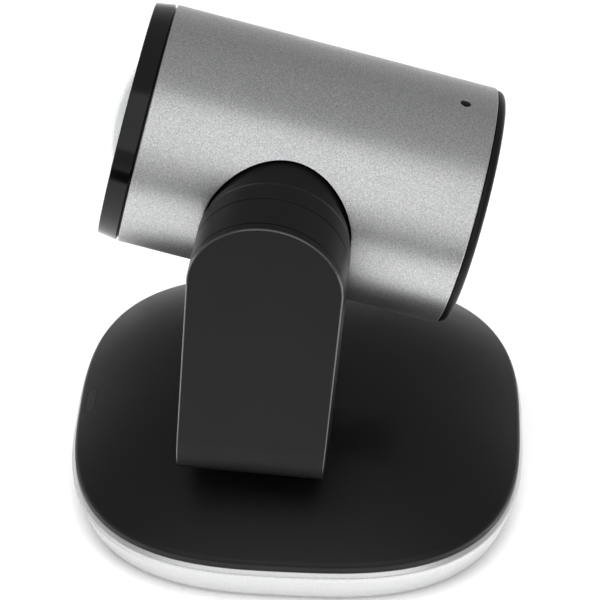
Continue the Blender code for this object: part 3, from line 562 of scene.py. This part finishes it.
def makeHeadShell():
    look = headShell
    inner = headRadius - look["wall"]
    bm = turnProfile(
        [(headRadius, shellHigh.y), (headRadius, shellLow.y), (inner, shellLow.y), (inner, shellHigh.y)],
        steps=256,
    )
    roundEdges(bm, look["edge"], 3)
    screwY = (screwLow.y + screwHigh.y) / 2
    hole = makeRod(look["hubHole"], 4 * mm, headRadius + 5 * mm, "X", steps=192)
    screwHole = makeRod(look["screwHole"], inner - 2 * mm, headRadius + 2 * mm, "Z", (0, screwY, 0), 48)
    bm = carve(bm, [hole, screwHole])

    def onHubHole(point):
        aroundHub = abs(math.hypot(point.y, point.z) - look["hubHole"]) < near
        return aroundHub and abs(math.hypot(point.x, point.z) - headRadius) < near

    def onScrewHole(point):
        atTop = point.z > headRadius - 0.2 * mm
        return atTop and math.hypot(point.x, point.y - screwY) < look["screwHole"] + near

    roundEdges(bm, look["hubHoleEdge"], 2, 25, onHubHole)
    roundEdges(bm, look["screwHoleEdge"], 3, 25, onScrewHole)
    finishPiece("headShell", bm, headAxes, "blastedAluminium", "head", ["head_shell"])

    top = screwHigh.z
    screw = carve(
        roundEdges(makeRod(screwHigh.x, screwLow.z, top, "Z", (0, screwY, 0), 32), 0.15 * mm, 2, 50),
        [turnProfile(
            [(0, top - 0.9 * mm), (0.55 * mm, top - 0.9 * mm), (0.55 * mm, top + mm), (0, top + mm)], "Z",
            6, (0, screwY, 0), ring=False,
        )],
    )
    finishPiece("setScrew", screw, headAxes, "turnedBlack", "head", ["set_screw"])


bezelLow, bezelHigh = localBox("front_bezel", headAxes)
faceLow, faceHigh = localBox("front_faceplate", headAxes)
windowLow, windowHigh = localBox("lens_window", headAxes)

frontBezel = {
    "gap": 0.5 * mm,  # the dark line between it and the shell
    "neck": 0.8 * mm,  # how deep that line is
    "lead": 0.8 * mm,  # how far the rim draws in at the front
    "rimEdge": 0.32 * mm,
    "mouthWall": 1.5 * mm,
}


def makeFront():
    look = frontBezel
    inner = headRadius - headShell["wall"] - clearance
    front = bezelLow.y
    back = shellLow.y - look["gap"]
    rim = headRadius - 0.1 * mm
    mouth = inner - look["mouthWall"]
    face = faceLow.y
    bm = turnProfile([
        (inner, bezelHigh.y), (inner, shellLow.y - 0.04 * mm), (rim - look["neck"], shellLow.y - 0.04 * mm),
        (rim - look["neck"], back), (rim, back), (rim - look["lead"], front),
        (mouth + 0.5 * mm, front), (mouth, front + 0.7 * mm), (mouth, bezelHigh.y),
    ], steps=224)

    def onRim(point):
        return point.y < back + near and math.hypot(point.x, point.z) > rim - look["lead"] - near

    roundEdges(bm, look["rimEdge"], 3, 30, onRim)
    finishPiece("frontBezel", bm, headAxes, "polishedAbs", "head", ["front_bezel"])

    outer, opening = faceHigh.x, windowHigh.x + clearance
    profile = [(opening, faceHigh.y), (opening, face + 0.35 * mm), (opening + 0.35 * mm, face)]
    for step in range(3):  # three fine steps that stop stray light
        start = opening + (2.2 + 1.5 * step) * mm
        profile += [
            (start, face), (start + 0.15 * mm, face + 0.3 * mm), (start + 0.45 * mm, face + 0.3 * mm),
            (start + 0.6 * mm, face),
        ]
    profile += [(outer, face), (outer, faceHigh.y)]
    finishPiece(
        "facePlate", turnProfile(profile, steps=160), headAxes, "polishedAbs", "head",
        ["front_faceplate"],
    )


domeGlass = {"thickness": 1.1 * mm, "steps": 20}


def capProfile(radius, height, count):  # a spherical cap's points, from its axis to its rim
    sphere = (radius ** 2 + height ** 2) / (2 * height)
    reach = math.asin(radius / sphere)
    turns = (reach * i / count for i in range(count + 1))
    return [(sphere * math.sin(turn), sphere * (1 - math.cos(turn))) for turn in turns]


def makeLensWindow():
    radius = windowHigh.x
    apex = windowLow.y
    face = faceLow.y
    outside = [(r, apex + h) for r, h in capProfile(radius, face - apex, domeGlass["steps"])]
    innerRadius = radius - 0.9 * mm
    under = apex + domeGlass["thickness"]
    inside = [(r, under + h) for r, h in capProfile(innerRadius, windowHigh.y - under, domeGlass["steps"])]
    bm = turnProfile(outside + [(radius, windowHigh.y)] + inside[::-1], steps=128, ring=False)
    finishPiece("lensWindow", bm, headAxes, "domeGlass", "head", ["lens_window"])


def makeBarrel():
    low, high = localBox("lens_barrel", headAxes)
    lensLow, lensHigh = localBox("objective_lens", headAxes)
    flange = high.x
    bore = lensHigh.x + clearance
    body = 18.1 * mm
    front = low.y
    profile = [(bore, high.y), (bore, front + 0.9 * mm)]
    for step in range(3):  # stepped light baffle in front of the first element
        r = bore + (0.9 + 1.4 * step) * mm
        profile += [
            (r - 0.5 * mm, front + (0.6 - 0.2 * step) * mm),
            (r + 0.5 * mm, front + (0.6 - 0.2 * step) * mm),
        ]
    profile += [
        (flange - 0.3 * mm, front), (flange, front + 0.3 * mm), (flange, front + 1.8 * mm),
        (body, front + 1.8 * mm), (body, high.y),
    ]
    bm = turnProfile(profile, steps=128)
    finishPiece("lensBarrel", bm, headAxes, "turnedBlack", "head", ["lens_barrel"])

    radius = lensHigh.x
    bulge = 1.7 * mm
    outside = [(r, lensLow.y + h) for r, h in capProfile(radius, bulge, 14)]
    back = [(r, lensHigh.y - h) for r, h in capProfile(radius, bulge, 14)]
    finishPiece(
        "frontElement", turnProfile(outside + back[::-1], steps=96, ring=False), headAxes, "coatedLens",
        "head", ["objective_lens"],
    )


capLow, capHigh = localBox("rear_cap", headAxes)

rearCap = {"round": 1.9 * mm, "plate": 24.6 * mm, "step": 0.35 * mm, "groove": 0.5 * mm}


def makeScrewHead(low, high, axis, facing, steps=40):
    # a pan head with a cross recess; facing is +1 or -1 along the axis
    index = "XYZ".index(axis)
    centre = (low + high) / 2
    centre[index] = 0
    radius = max(high[i] - low[i] for i in range(3) if i != index) / 2
    top, bottom = (high[index], low[index]) if facing > 0 else (low[index], high[index])
    depth = abs(top - bottom)
    bm = turnProfile(
        [
            (0, bottom), (radius, bottom), (radius, bottom + facing * depth * 0.45),
            (radius * 0.86, bottom + facing * depth * 0.8), (radius * 0.55, top), (0, top),
        ],
        axis, steps, centre, ring=False,
    )
    cutters = []
    others = [i for i in range(3) if i != index]
    for along in others:
        half = Vector((0.16 * radius,) * 3)
        half[along] = 0.52 * radius
        half[index] = depth * 0.75
        place = centre.copy()
        place[index] = top
        cutters.append(makeBlock(place - half, place + half))
    return carve(bm, cutters)


def makeRear():
    look = rearCap
    radius = capHigh.x
    rear, front = capHigh.y, capLow.y
    seat = shellHigh.y + clearance
    inner = headRadius - headShell["wall"] - clearance
    plate = look["plate"]
    bm = turnProfile([
        (0, rear - look["step"]), (plate, rear - look["step"]), (plate + 0.25 * mm, rear), (radius, rear),
        (radius, seat), (inner, seat), (inner, front), (inner - 1.8 * mm, front),
        (inner - 1.8 * mm, rear - 2.2 * mm), (0, rear - 2.2 * mm),
    ], steps=224, ring=False)
    roundEdges(
        bm, look["round"], 8, 50,
        lambda point: math.hypot(point.x, point.z) > radius - 0.05 * mm and point.y > rear - 0.05 * mm,
    )
    recesses = []
    for index in (1, 2, 3):
        low, high = localBox(f"rear_screw_{index}", headAxes)
        place = (low + high) / 2
        recesses.append(makeRod(2.0 * mm, rear - 1.1 * mm, rear + mm, "Y", (place.x, 0, place.z), 40))
        finishPiece(
            f"rearScrew{index}", makeScrewHead(low, high, "Y", 1), headAxes, "platedSteel", "head",
            [f"rear_screw_{index}"],
        )
    bm = carve(bm, recesses)
    finishPiece("rearCap", bm, headAxes, "satinAbs", "head", ["rear_cap"])


makeHeadShell()
makeFront()
makeLensWindow()
makeBarrel()
makeRear()
print("head made")


# arm

coverLow, coverHigh = localBox("arm_outer_cover", armAxes)

arm = {
    "halfWidth": 19.8 * mm,
    "lean": 4.6 * mm,  # how far the foot stands forward of the head
    "innerFace": 35.1 * mm,
    "barTop": 9.0 * mm,  # above the bar's underside
    "barLift": 0.15 * mm,  # of the bar above the foot
    "discRadius": 11.4 * mm,
    "barHalfWidth": 11.0 * mm,
    "innerRound": 3.6 * mm,
    "cornerFillet": 5.5 * mm,
    "hubRadius": 19.0 * mm,
    "collarRadius": 18.6 * mm,
    "collarEnd": 34.0 * mm,
    "footRise": 5.6 * mm,  # height of the roll's start above the foot
    "gentleRadius": 38 * mm,
    "gentleTurn": math.radians(16),
    "rollRadius": 4.6 * mm,
    "rollTurn": math.radians(56),
    "faceEdge": 0.36 * mm,
    "faceThickness": 2.4 * mm,
    "faceGroove": 0.26 * mm,
    "seam": 0.12 * mm,
}


def tongueFace(bm, x, half, foot):
    # the arm from its side: half a circle over the tilt axis, then straight down to a foot that leans forward
    start = bm.verts.new((x, pivot.y + half, pivot.z))
    bmesh.ops.spin(bm, geom=[start], cent=(x, pivot.y, pivot.z), axis=(1, 0, 0), angle=math.pi, steps=96)
    bm.verts.ensure_lookup_table()
    footY = pivot.y - arm["lean"]
    for y in (footY - half, footY + half):
        bm.verts.new((x, y, foot))
    bm.verts.ensure_lookup_table()
    return bm.faces.new(list(bm.verts))


def makeTongue(xLow, xHigh, half, foot):
    bm = bmesh.new()
    cap = tongueFace(bm, xLow, half, foot)
    pushOut(bm, [cap], (xHigh - xLow, 0, 0))
    return bm


def footSection():
    # the cover from its end: the face curves gently in, rolls under and runs back to the seam
    look = arm
    xHigh, foot = coverHigh.x, coverLow.z
    start = (xHigh, 0, foot + look["footRise"] + look["gentleRadius"] * math.sin(look["gentleTurn"]))
    bm = bmesh.new()
    first = bm.verts.new(start)
    centre = (xHigh - look["gentleRadius"], 0, start[2])
    bmesh.ops.spin(bm, geom=[first], cent=centre, axis=(0, 1, 0), angle=look["gentleTurn"], steps=10)
    bm.verts.ensure_lookup_table()
    last = bm.verts[-1].co
    out = Vector((math.cos(look["gentleTurn"]), 0, -math.sin(look["gentleTurn"])))
    bmesh.ops.spin(
        bm, geom=[bm.verts[-1]], cent=last - look["rollRadius"] * out, axis=(0, 1, 0),
        angle=look["rollTurn"] - look["gentleTurn"], steps=12,
    )
    for x, z in (
        (coverLow.x - mm, foot - 0.67 * mm), (coverLow.x - mm, foot - 60 * mm),
        (xHigh + 20 * mm, foot - 60 * mm), (xHigh + 20 * mm, start[2]),
    ):
        bm.verts.new((x, 0, z))
    bm.verts.ensure_lookup_table()
    section = bm.faces.new(list(bm.verts))
    pushOut(bm, [section], (0, 80 * mm, 0))
    bmesh.ops.translate(bm, vec=(0, -40 * mm, 0), verts=bm.verts)
    return bm


def makeArmCover():
    look = arm
    xLow, xHigh, foot = coverLow.x + look["seam"] / 2, coverHigh.x, coverLow.z
    bm = carve(makeTongue(xLow, xHigh, look["halfWidth"], foot), [footSection()])
    roundEdges(bm, 0.10 * mm, 1, 50, lambda point: abs(point.x - xLow) < near)
    # the face's edge bevel takes the second finish, whose lighter colour is a painted highlight line
    roundEdges(bm, look["faceEdge"], 4, 50, lambda point: point.x > xHigh - 8 * mm, material=1)
    # the fine line that sets the face off from the sides
    neck = xHigh - look["faceThickness"]
    collar = carve(
        makeTongue(neck - look["faceGroove"], neck, look["halfWidth"] + 2 * mm, foot - 2 * mm),
        [makeTongue(neck - mm, neck + mm, look["halfWidth"] - look["faceGroove"], foot - 4 * mm)],
    )
    bm = carve(bm, [collar])
    finishPiece(
        "armCover", bm, armAxes, "satinAbs", "arm", ["arm_outer_cover"], ["paintedHighlightAbs"],
    )


def makeArmBody():
    look = arm
    xLow, xHigh, foot = look["innerFace"], coverLow.x - clearance + look["seam"], coverLow.z
    tongue = makeTongue(xLow, xHigh, look["halfWidth"], foot)
    roundEdges(
        tongue, look["innerRound"], 8, 50,
        lambda point: point.x < xLow + near and point.z > foot + 0.5 * mm,
    )
    roundEdges(tongue, 0.10 * mm, 1, 50, lambda point: point.x > xHigh - near)

    hubEnd = hubInnerEnd()
    hub = turnProfile([
        (0, hubEnd), (look["collarRadius"], hubEnd), (look["collarRadius"], look["collarEnd"]),
        (look["hubRadius"] - 0.12 * mm, look["collarEnd"]),
        (look["hubRadius"], look["collarEnd"] + 0.12 * mm),
        (look["hubRadius"], xHigh - 3 * mm), (0, xHigh - 3 * mm),
    ], "X", 192, (0, pivot.y, pivot.z), ring=False)

    # the bar under the head: a round disc over the pan axis that runs into the tongue
    footY = pivot.y - look["lean"]
    radius = look["discRadius"]
    bar = bmesh.new()
    start = bar.verts.new((0, radius, foot))
    bmesh.ops.spin(bar, geom=[start], cent=(0, 0, foot), axis=(0, 0, 1), angle=math.pi, steps=96)
    bar.verts.new((xHigh - 3 * mm, footY - look["barHalfWidth"], foot))
    bar.verts.new((xHigh - 3 * mm, footY + look["barHalfWidth"], foot))
    bar.verts.ensure_lookup_table()
    cap = bar.faces.new(list(bar.verts))
    pushOut(bar, [cap], (0, 0, look["barTop"]))
    bmesh.ops.translate(bar, vec=(0, 0, look["barLift"]), verts=bar.verts)
    roundEdges(bar, 1.4 * mm, 5, 50, lambda point: point.x < xHigh - 4 * mm and point.z > foot + mm)
    roundEdges(bar, 0.6 * mm, 3, 50, lambda point: point.x < xHigh - 4 * mm and point.z < foot + mm)

    # a fillet where the bar turns up into the tongue
    size = look["cornerFillet"]
    barTop = foot + look["barTop"] + look["barLift"]
    half = look["barHalfWidth"] - 1.6 * mm
    fillet = bmesh.new()
    first = fillet.verts.new((xLow - size, footY - half, barTop - 0.02 * mm))
    bmesh.ops.spin(
        fillet, geom=[first], cent=(xLow - size, 0, barTop - 0.02 * mm + size), axis=(0, 1, 0),
        angle=-math.pi / 2, steps=16,
    )
    for x, z in ((xLow + mm, barTop + size), (xLow + mm, barTop - mm), (xLow - size, barTop - mm)):
        fillet.verts.new((x, footY - half, z))
    fillet.verts.ensure_lookup_table()
    section = fillet.faces.new(list(fillet.verts))
    pushOut(fillet, [section], (0, 2 * half, 0))
    bm = carve(tongue, [hub, bar, fillet], "UNION")

    recesses = []
    for index in (1, 2):
        low, high = localBox(f"arm_screw_{index}", armAxes)
        place = (low + high) / 2
        recesses.append(makeRod(2.3 * mm, xLow - mm, xLow + 0.9 * mm, "X", (0, place.y, place.z), 40))
        finishPiece(
            f"armScrew{index}", makeScrewHead(low, high, "X", -1), armAxes, "platedSteel", "arm",
            [f"arm_screw_{index}"],
        )
    recesses.append(makeRod(7.4 * mm, hubEnd - mm, hubEnd + 3 * mm, "X", (0, pivot.y, pivot.z), 64))
    bm = carve(bm, recesses)
    finishPiece("armBody", bm, armAxes, "satinAbs", "arm", ["arm_inner_shell"])


def hubInnerEnd():  # where the hub ends inside the head
    points = [armAxes.inverted() @ vertex.co for vertex in nodes["arm_inner_shell"].data.vertices]
    return min(point.x for point in points if point.z > pivot.z)


makeArmCover()
makeArmBody()
print("arm made")


# base

ringLow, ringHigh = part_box("base_lower_shell")
crownLow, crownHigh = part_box("base_top_cover")
halfX, halfY = 61.8 * mm, 64.1 * mm
baseCentre = Vector((5.4 * mm, 0.7 * mm))  # the outline stands a little towards the arm's side
ringBottom, ringTop = ringLow.z, ringHigh.z

base = {
    "cadHalfX": 65.5 * mm,  # the feet are drawn in from the CAD outline to this one
    "roundness": 2.85,
    "taper": 2.3 * mm,
    "wall": 2.0 * mm,
    "floor": 1.8 * mm,
    "coverInset": 1.0 * mm,
    "crownFullness": 2.6,
    "crownEdge": 2.2 * mm,  # the CAD crown starts this far above the cover's underside
    "opening": 9.0 * mm,
    "ballastInset": 7.6 * mm,
    "windowHalfHeight": 1.6 * mm,
    "windowGap": 0.1 * mm,
}


def shapeRing(verts, reachX, reachY, roundness, height, shift=1):
    centre = baseCentre * shift
    for vertex in verts:
        angle = math.atan2(vertex.co.y, vertex.co.x)
        c, s = abs(math.cos(angle)) / reachX, abs(math.sin(angle)) / reachY
        reach = (c ** roundness + s ** roundness) ** (-1 / roundness)
        vertex.co = (centre.x + reach * math.cos(angle), centre.y + reach * math.sin(angle), height)


def stackRings(rings, steps=256):
    bm = bmesh.new()
    loop = bmesh.ops.create_circle(bm, cap_ends=False, segments=steps, radius=1)["verts"]
    edges = list(bm.edges)
    shapeRing(loop, *rings[0])
    for ring in rings[1:]:
        made = bmesh.ops.extrude_edge_only(bm, edges=edges)["geom"]
        verts = [item for item in made if isinstance(item, bmesh.types.BMVert)]
        shapeRing(verts, *ring)
        fresh = set(verts)
        edges = [
            item for item in made if isinstance(item, bmesh.types.BMEdge) and all(
                v in fresh for v in item.verts
            )
        ]
    bmesh.ops.bridge_loops(bm, edges=[edge for edge in bm.edges if edge.is_boundary])
    bmesh.ops.recalc_face_normals(bm, faces=bm.faces)
    return bm


def outline(inset, height):
    return (halfX - inset, halfY - inset, base["roundness"], height)


def circleRing(radius, height):
    return (radius, radius, 2, height, 0)


def crownRing(share, drop=0):
    edge = crownLow.z + base["crownEdge"]
    rise = crownHigh.z - edge
    roundness = 2 + (base["roundness"] - 2) * share
    height = edge + rise * (1 - share ** base["crownFullness"]) - drop
    return (
        (halfX - base["coverInset"]) * share - drop, (halfY - base["coverInset"]) * share - drop, roundness,
        height, share,
    )


def windowFrame(node):
    # a node's middle, and the way its top faces
    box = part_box(node)
    mesh = nodes[node].data
    normal = Vector()
    for face in mesh.polygons:
        if face.normal.z > 0.6:
            normal += face.normal * face.area
    return (box[0] + box[1]) / 2, normal.normalized()


def makePill(gap):  # a rounded bar through the crown where the receiver sits
    middle, normal = windowFrame("sensor_window")
    low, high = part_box("sensor_window")
    halfLength, halfHeight = (high.x - low.x) / 2 + gap, base["windowHalfHeight"] + gap
    pill = makeBlock((-halfLength, -halfHeight, -4 * mm), (halfLength, halfHeight, 4 * mm))
    upright = [edge for edge in pill.edges if abs(edge.verts[0].co.z - edge.verts[1].co.z) > mm]
    bmesh.ops.bevel(
        pill, geom=upright, offset=halfHeight * 0.99, offset_type="OFFSET", segments=10, profile=0.5,
        affect="EDGES", material=-1,
    )
    right = Vector((1, 0, 0))
    pill.transform(axesMatrix(right, normal.cross(right), middle))
    return pill


def makeCrown():
    look = base
    bottom = crownLow.z
    edgeTop = crownRing(1)[3]
    rings = [outline(look["coverInset"], bottom), outline(look["coverInset"] - 0.02 * mm, edgeTop - 0.9 * mm)]
    rings += [
        outline(look["coverInset"], edgeTop - 0.55 * mm),
        outline(look["coverInset"] + 0.12 * mm, edgeTop - 0.25 * mm),
    ]
    shares = [
        0.993, 0.985, 0.975, 0.96, 0.94, 0.915, 0.885, 0.85, 0.81, 0.77, 0.73, 0.68, 0.63, 0.58, 0.53, 0.48,
        0.43, 0.38, 0.33, 0.28,
    ]
    rings += [crownRing(share) for share in shares]
    top = crownHigh.z
    rings += [circleRing(look["opening"], top - 0.1 * mm), circleRing(look["opening"], top - 2.4 * mm)]
    rings += [crownRing(share, look["wall"]) for share in (0.28, 0.43, 0.6, 0.75, 0.88, 0.96)]
    rings += [outline(look["coverInset"] + look["wall"], bottom)]
    bm = stackRings(rings)

    # the receiver's window, flush with the crown
    window = carve(makePill(0), [bm.copy()], "INTERSECT")
    finishPiece("receiverWindow", window, baseAxes, "tintedAcrylic", "base", ["sensor_window"])
    bm = carve(bm, [makePill(look["windowGap"])])
    finishPiece("baseCrown", bm, baseAxes, "crownAbs", "base", ["base_top_cover"])


def makeRing():
    look = base
    taper, wall = look["taper"], look["wall"]
    floorTop = ringBottom + look["floor"]
    hole = 6.5 * mm
    rings = [
        circleRing(hole, ringBottom),
        outline(taper + 1.2 * mm, ringBottom),
        outline(taper + 0.45 * mm, ringBottom + 0.2 * mm),
        outline(taper + 0.1 * mm, ringBottom + 0.75 * mm),
        outline(taper - 0.15 * mm, ringBottom + 1.5 * mm),
        outline(0.16 * mm, ringTop - 3.0 * mm),
        outline(0.02 * mm, ringTop - 2.3 * mm),
        outline(0.0, ringTop - 1.8 * mm),
        outline(0.05 * mm, ringTop - 1.42 * mm),
        outline(0.17 * mm, ringTop - 1.08 * mm),
        outline(0.34 * mm, ringTop - 0.82 * mm),
        outline(0.78 * mm, ringTop - 0.28 * mm),
        outline(0.95 * mm, ringTop - 0.08 * mm),
        outline(1.15 * mm, ringTop),
        outline(wall + 0.4 * mm, ringTop),
        outline(wall + taper, floorTop),
        circleRing(hole, floorTop),
    ]
    bm = stackRings(rings)
    cutters = []
    for name in ("usb_port", "power_port", "control_port"):
        low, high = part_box(name)
        block = makeBlock(
            (low.x - 0.3 * mm, high.y - 2 * mm, low.z - 0.1 * mm),
            (high.x + 0.3 * mm, halfY + 4 * mm, high.z + 0.3 * mm),
        )
        along = [edge for edge in block.edges if abs(edge.verts[0].co.y - edge.verts[1].co.y) > mm]
        bmesh.ops.bevel(
            block, geom=along, offset=0.6 * mm, offset_type="OFFSET", segments=4, profile=0.5,
            affect="EDGES", material=-1,
        )
        cutters.append(block)
    for index in (1, 2, 3, 4):
        low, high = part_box(f"base_screw_{index}")
        place = (low + high) / 2
        cutters.append(makeRod(2.7 * mm, 0, ringBottom + mm, "Z", (place.x, place.y, 0), 48))
        finishPiece(
            f"baseScrew{index}", makeScrewHead(low, high, "Z", -1), baseAxes, "platedSteel", "base",
            [f"base_screw_{index}"],
        )
    bm = carve(bm, cutters)
    finishPiece("baseRing", bm, baseAxes, "blastedCasting", "base", ["base_lower_shell"])


def makeBallast():
    # the weight plate, drawn in to stay inside the ring
    low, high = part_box("weight_plate")
    reachX = halfX - base["ballastInset"]
    reachY = (high.y - low.y) / 2
    bm = bmesh.new()
    loop = bmesh.ops.create_circle(bm, cap_ends=True, segments=160, radius=1)["verts"]
    shapeRing(loop, reachX, reachY, base["roundness"], low.z)
    bmesh.ops.translate(bm, vec=(0, (low.y + high.y) / 2 - baseCentre.y, 0), verts=loop)
    pushOut(bm, list(bm.faces), (0, 0, high.z - low.z))
    roundEdges(bm, 0.3 * mm, 2, 50)
    bm = carve(bm, [makeRod(6.7 * mm, low.z - mm, high.z + mm, "Z", steps=64)])
    finishPiece("weightPlate", bm, baseAxes, "rolledSteel", "base", ["weight_plate"])


def makeFeet():
    for end in ("front_left", "front_right", "rear_left", "rear_right"):
        low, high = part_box(f"foot_{end}")
        centre = (low + high) / 2
        centre.x = centre.x * halfX / base["cadHalfX"] + baseCentre.x
        radius = (high.x - low.x) / 2
        bm = turnProfile([
            (0, low.z), (2.2 * mm, low.z), (2.4 * mm, low.z + 0.15 * mm), (2.8 * mm, low.z + 0.15 * mm),
            (3.0 * mm, low.z),
            (radius - 0.5 * mm, low.z), (radius - 0.1 * mm, low.z + 0.3 * mm), (radius, high.z), (0, high.z),
        ], "Z", 64, (centre.x, centre.y, 0), ring=False)
        name = "".join(word.title() for word in end.split("_"))
        finishPiece(f"foot{name}", bm, baseAxes, "siliconeRubber", "base", [f"foot_{end}"])


def makeTripodInsert():
    low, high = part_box("tripod_insert")
    outer = high.x
    bore, crest = 3.55 * mm, 3.2 * mm
    pitch = 1.27 * mm
    profile = [(outer, high.z), (outer, low.z), (bore + 0.3 * mm, low.z)]
    turns = int((high.z - low.z) / pitch)
    for turn in range(turns):
        z = low.z + 0.3 * mm + turn * pitch
        profile += [(bore, z), (crest, z + 0.45 * pitch), (crest, z + 0.55 * pitch)]
    profile += [(bore, high.z)]
    finishPiece(
        "tripodInsert", turnProfile(profile, "Z", 64), baseAxes, "turnedBrass", "base",
        ["tripod_insert"],
    )


def makeSocketDetails():
    low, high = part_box("usb_port")
    centre = (low + high) / 2
    tongue = makeBlock(
        (centre.x - 2.6 * mm, high.y - 6.6 * mm, centre.z - 0.45 * mm),
        (centre.x + 2.6 * mm, high.y - 0.9 * mm, centre.z + 0.45 * mm),
    )
    roundEdges(tongue, 0.12 * mm, 2)
    finishPiece("usbTongue", tongue, baseAxes, "filledNylon", "base")
    pads = []
    for i in range(4):
        x = centre.x + (i - 1.5) * 1.2 * mm
        pads.append(makeBlock(
            (x - 0.3 * mm, high.y - 6.0 * mm, centre.z + 0.47 * mm),
            (x + 0.3 * mm, high.y - 1.4 * mm, centre.z + 0.56 * mm),
        ))
    finishPiece("usbContacts", merge(pads), baseAxes, "goldFlash", "base")
    low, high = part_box("power_port")
    centre = (low + high) / 2
    middle = (centre.x, 0, (low.z + high.z + 0.2 * mm) / 2)
    pin = roundEdges(
        makeRod(0.6 * mm, high.y - 6.6 * mm, high.y - 1.0 * mm, "Y", middle, 24), 0.25 * mm, 3, 50,
    )
    finishPiece("powerPin", pin, baseAxes, "goldFlash", "base")
    low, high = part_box("control_port")
    centre = (low + high) / 2
    pins = []
    for i in range(8):
        place = (centre.x + (i % 4 - 1.5) * 1.7 * mm, 0, centre.z + (0.75 if i > 3 else -0.75) * mm)
        pins.append(makeRod(0.22 * mm, high.y - 6.6 * mm, high.y - 1.6 * mm, "Y", place, 12))
    finishPiece("controlPins", merge(pins), baseAxes, "goldFlash", "base")


makeCrown()
makeRing()
makeBallast()
makeFeet()
makeTripodInsert()
makeSocketDetails()
print("base made")


# the CAD nodes listed below get their finishes, also the ones that a piece above stands in for

carriedOver = {
    "filledNylon": ["power_port", "control_port", "zoom_carriage", "focus_carriage"],
    "platedSteel": [
        "usb_port", "pan_motor", "tilt_motor", "zoom_motor", "focus_motor", "pan_shaft", "tilt_shaft",
        "pan_bearing", "tilt_bearing", "guide_rod_upper", "guide_rod_lower",
    ],
    "rolledSteel": ["weight_plate"],
    "castAluminium": ["bearing_plate", "head_chassis", "heat_sink"],
    "turnedBrass": ["pan_pinion", "tilt_pinion"],
    "mouldedAcetal": ["pan_gear", "tilt_gear"],
    "solderMask": ["main_board", "arm_board", "sensor_board", "processor_board"],
    "tintedAcrylic": ["sensor_window", "image_sensor"],
    "coatedLens": ["zoom_lens", "focus_lens"],
    "satinAbs": ["arm_inner_shell", "arm_outer_cover", "rear_cap", "base_top_cover", "lens_barrel"],
    "blastedAluminium": ["head_shell", "base_lower_shell"],
    "polishedAbs": ["front_bezel", "front_faceplate"],
}

for materialName, names in carriedOver.items():
    for name in names:
        for place in nodes[name].material_slots:
            place.material = materials[materialName]

print("finishes set")
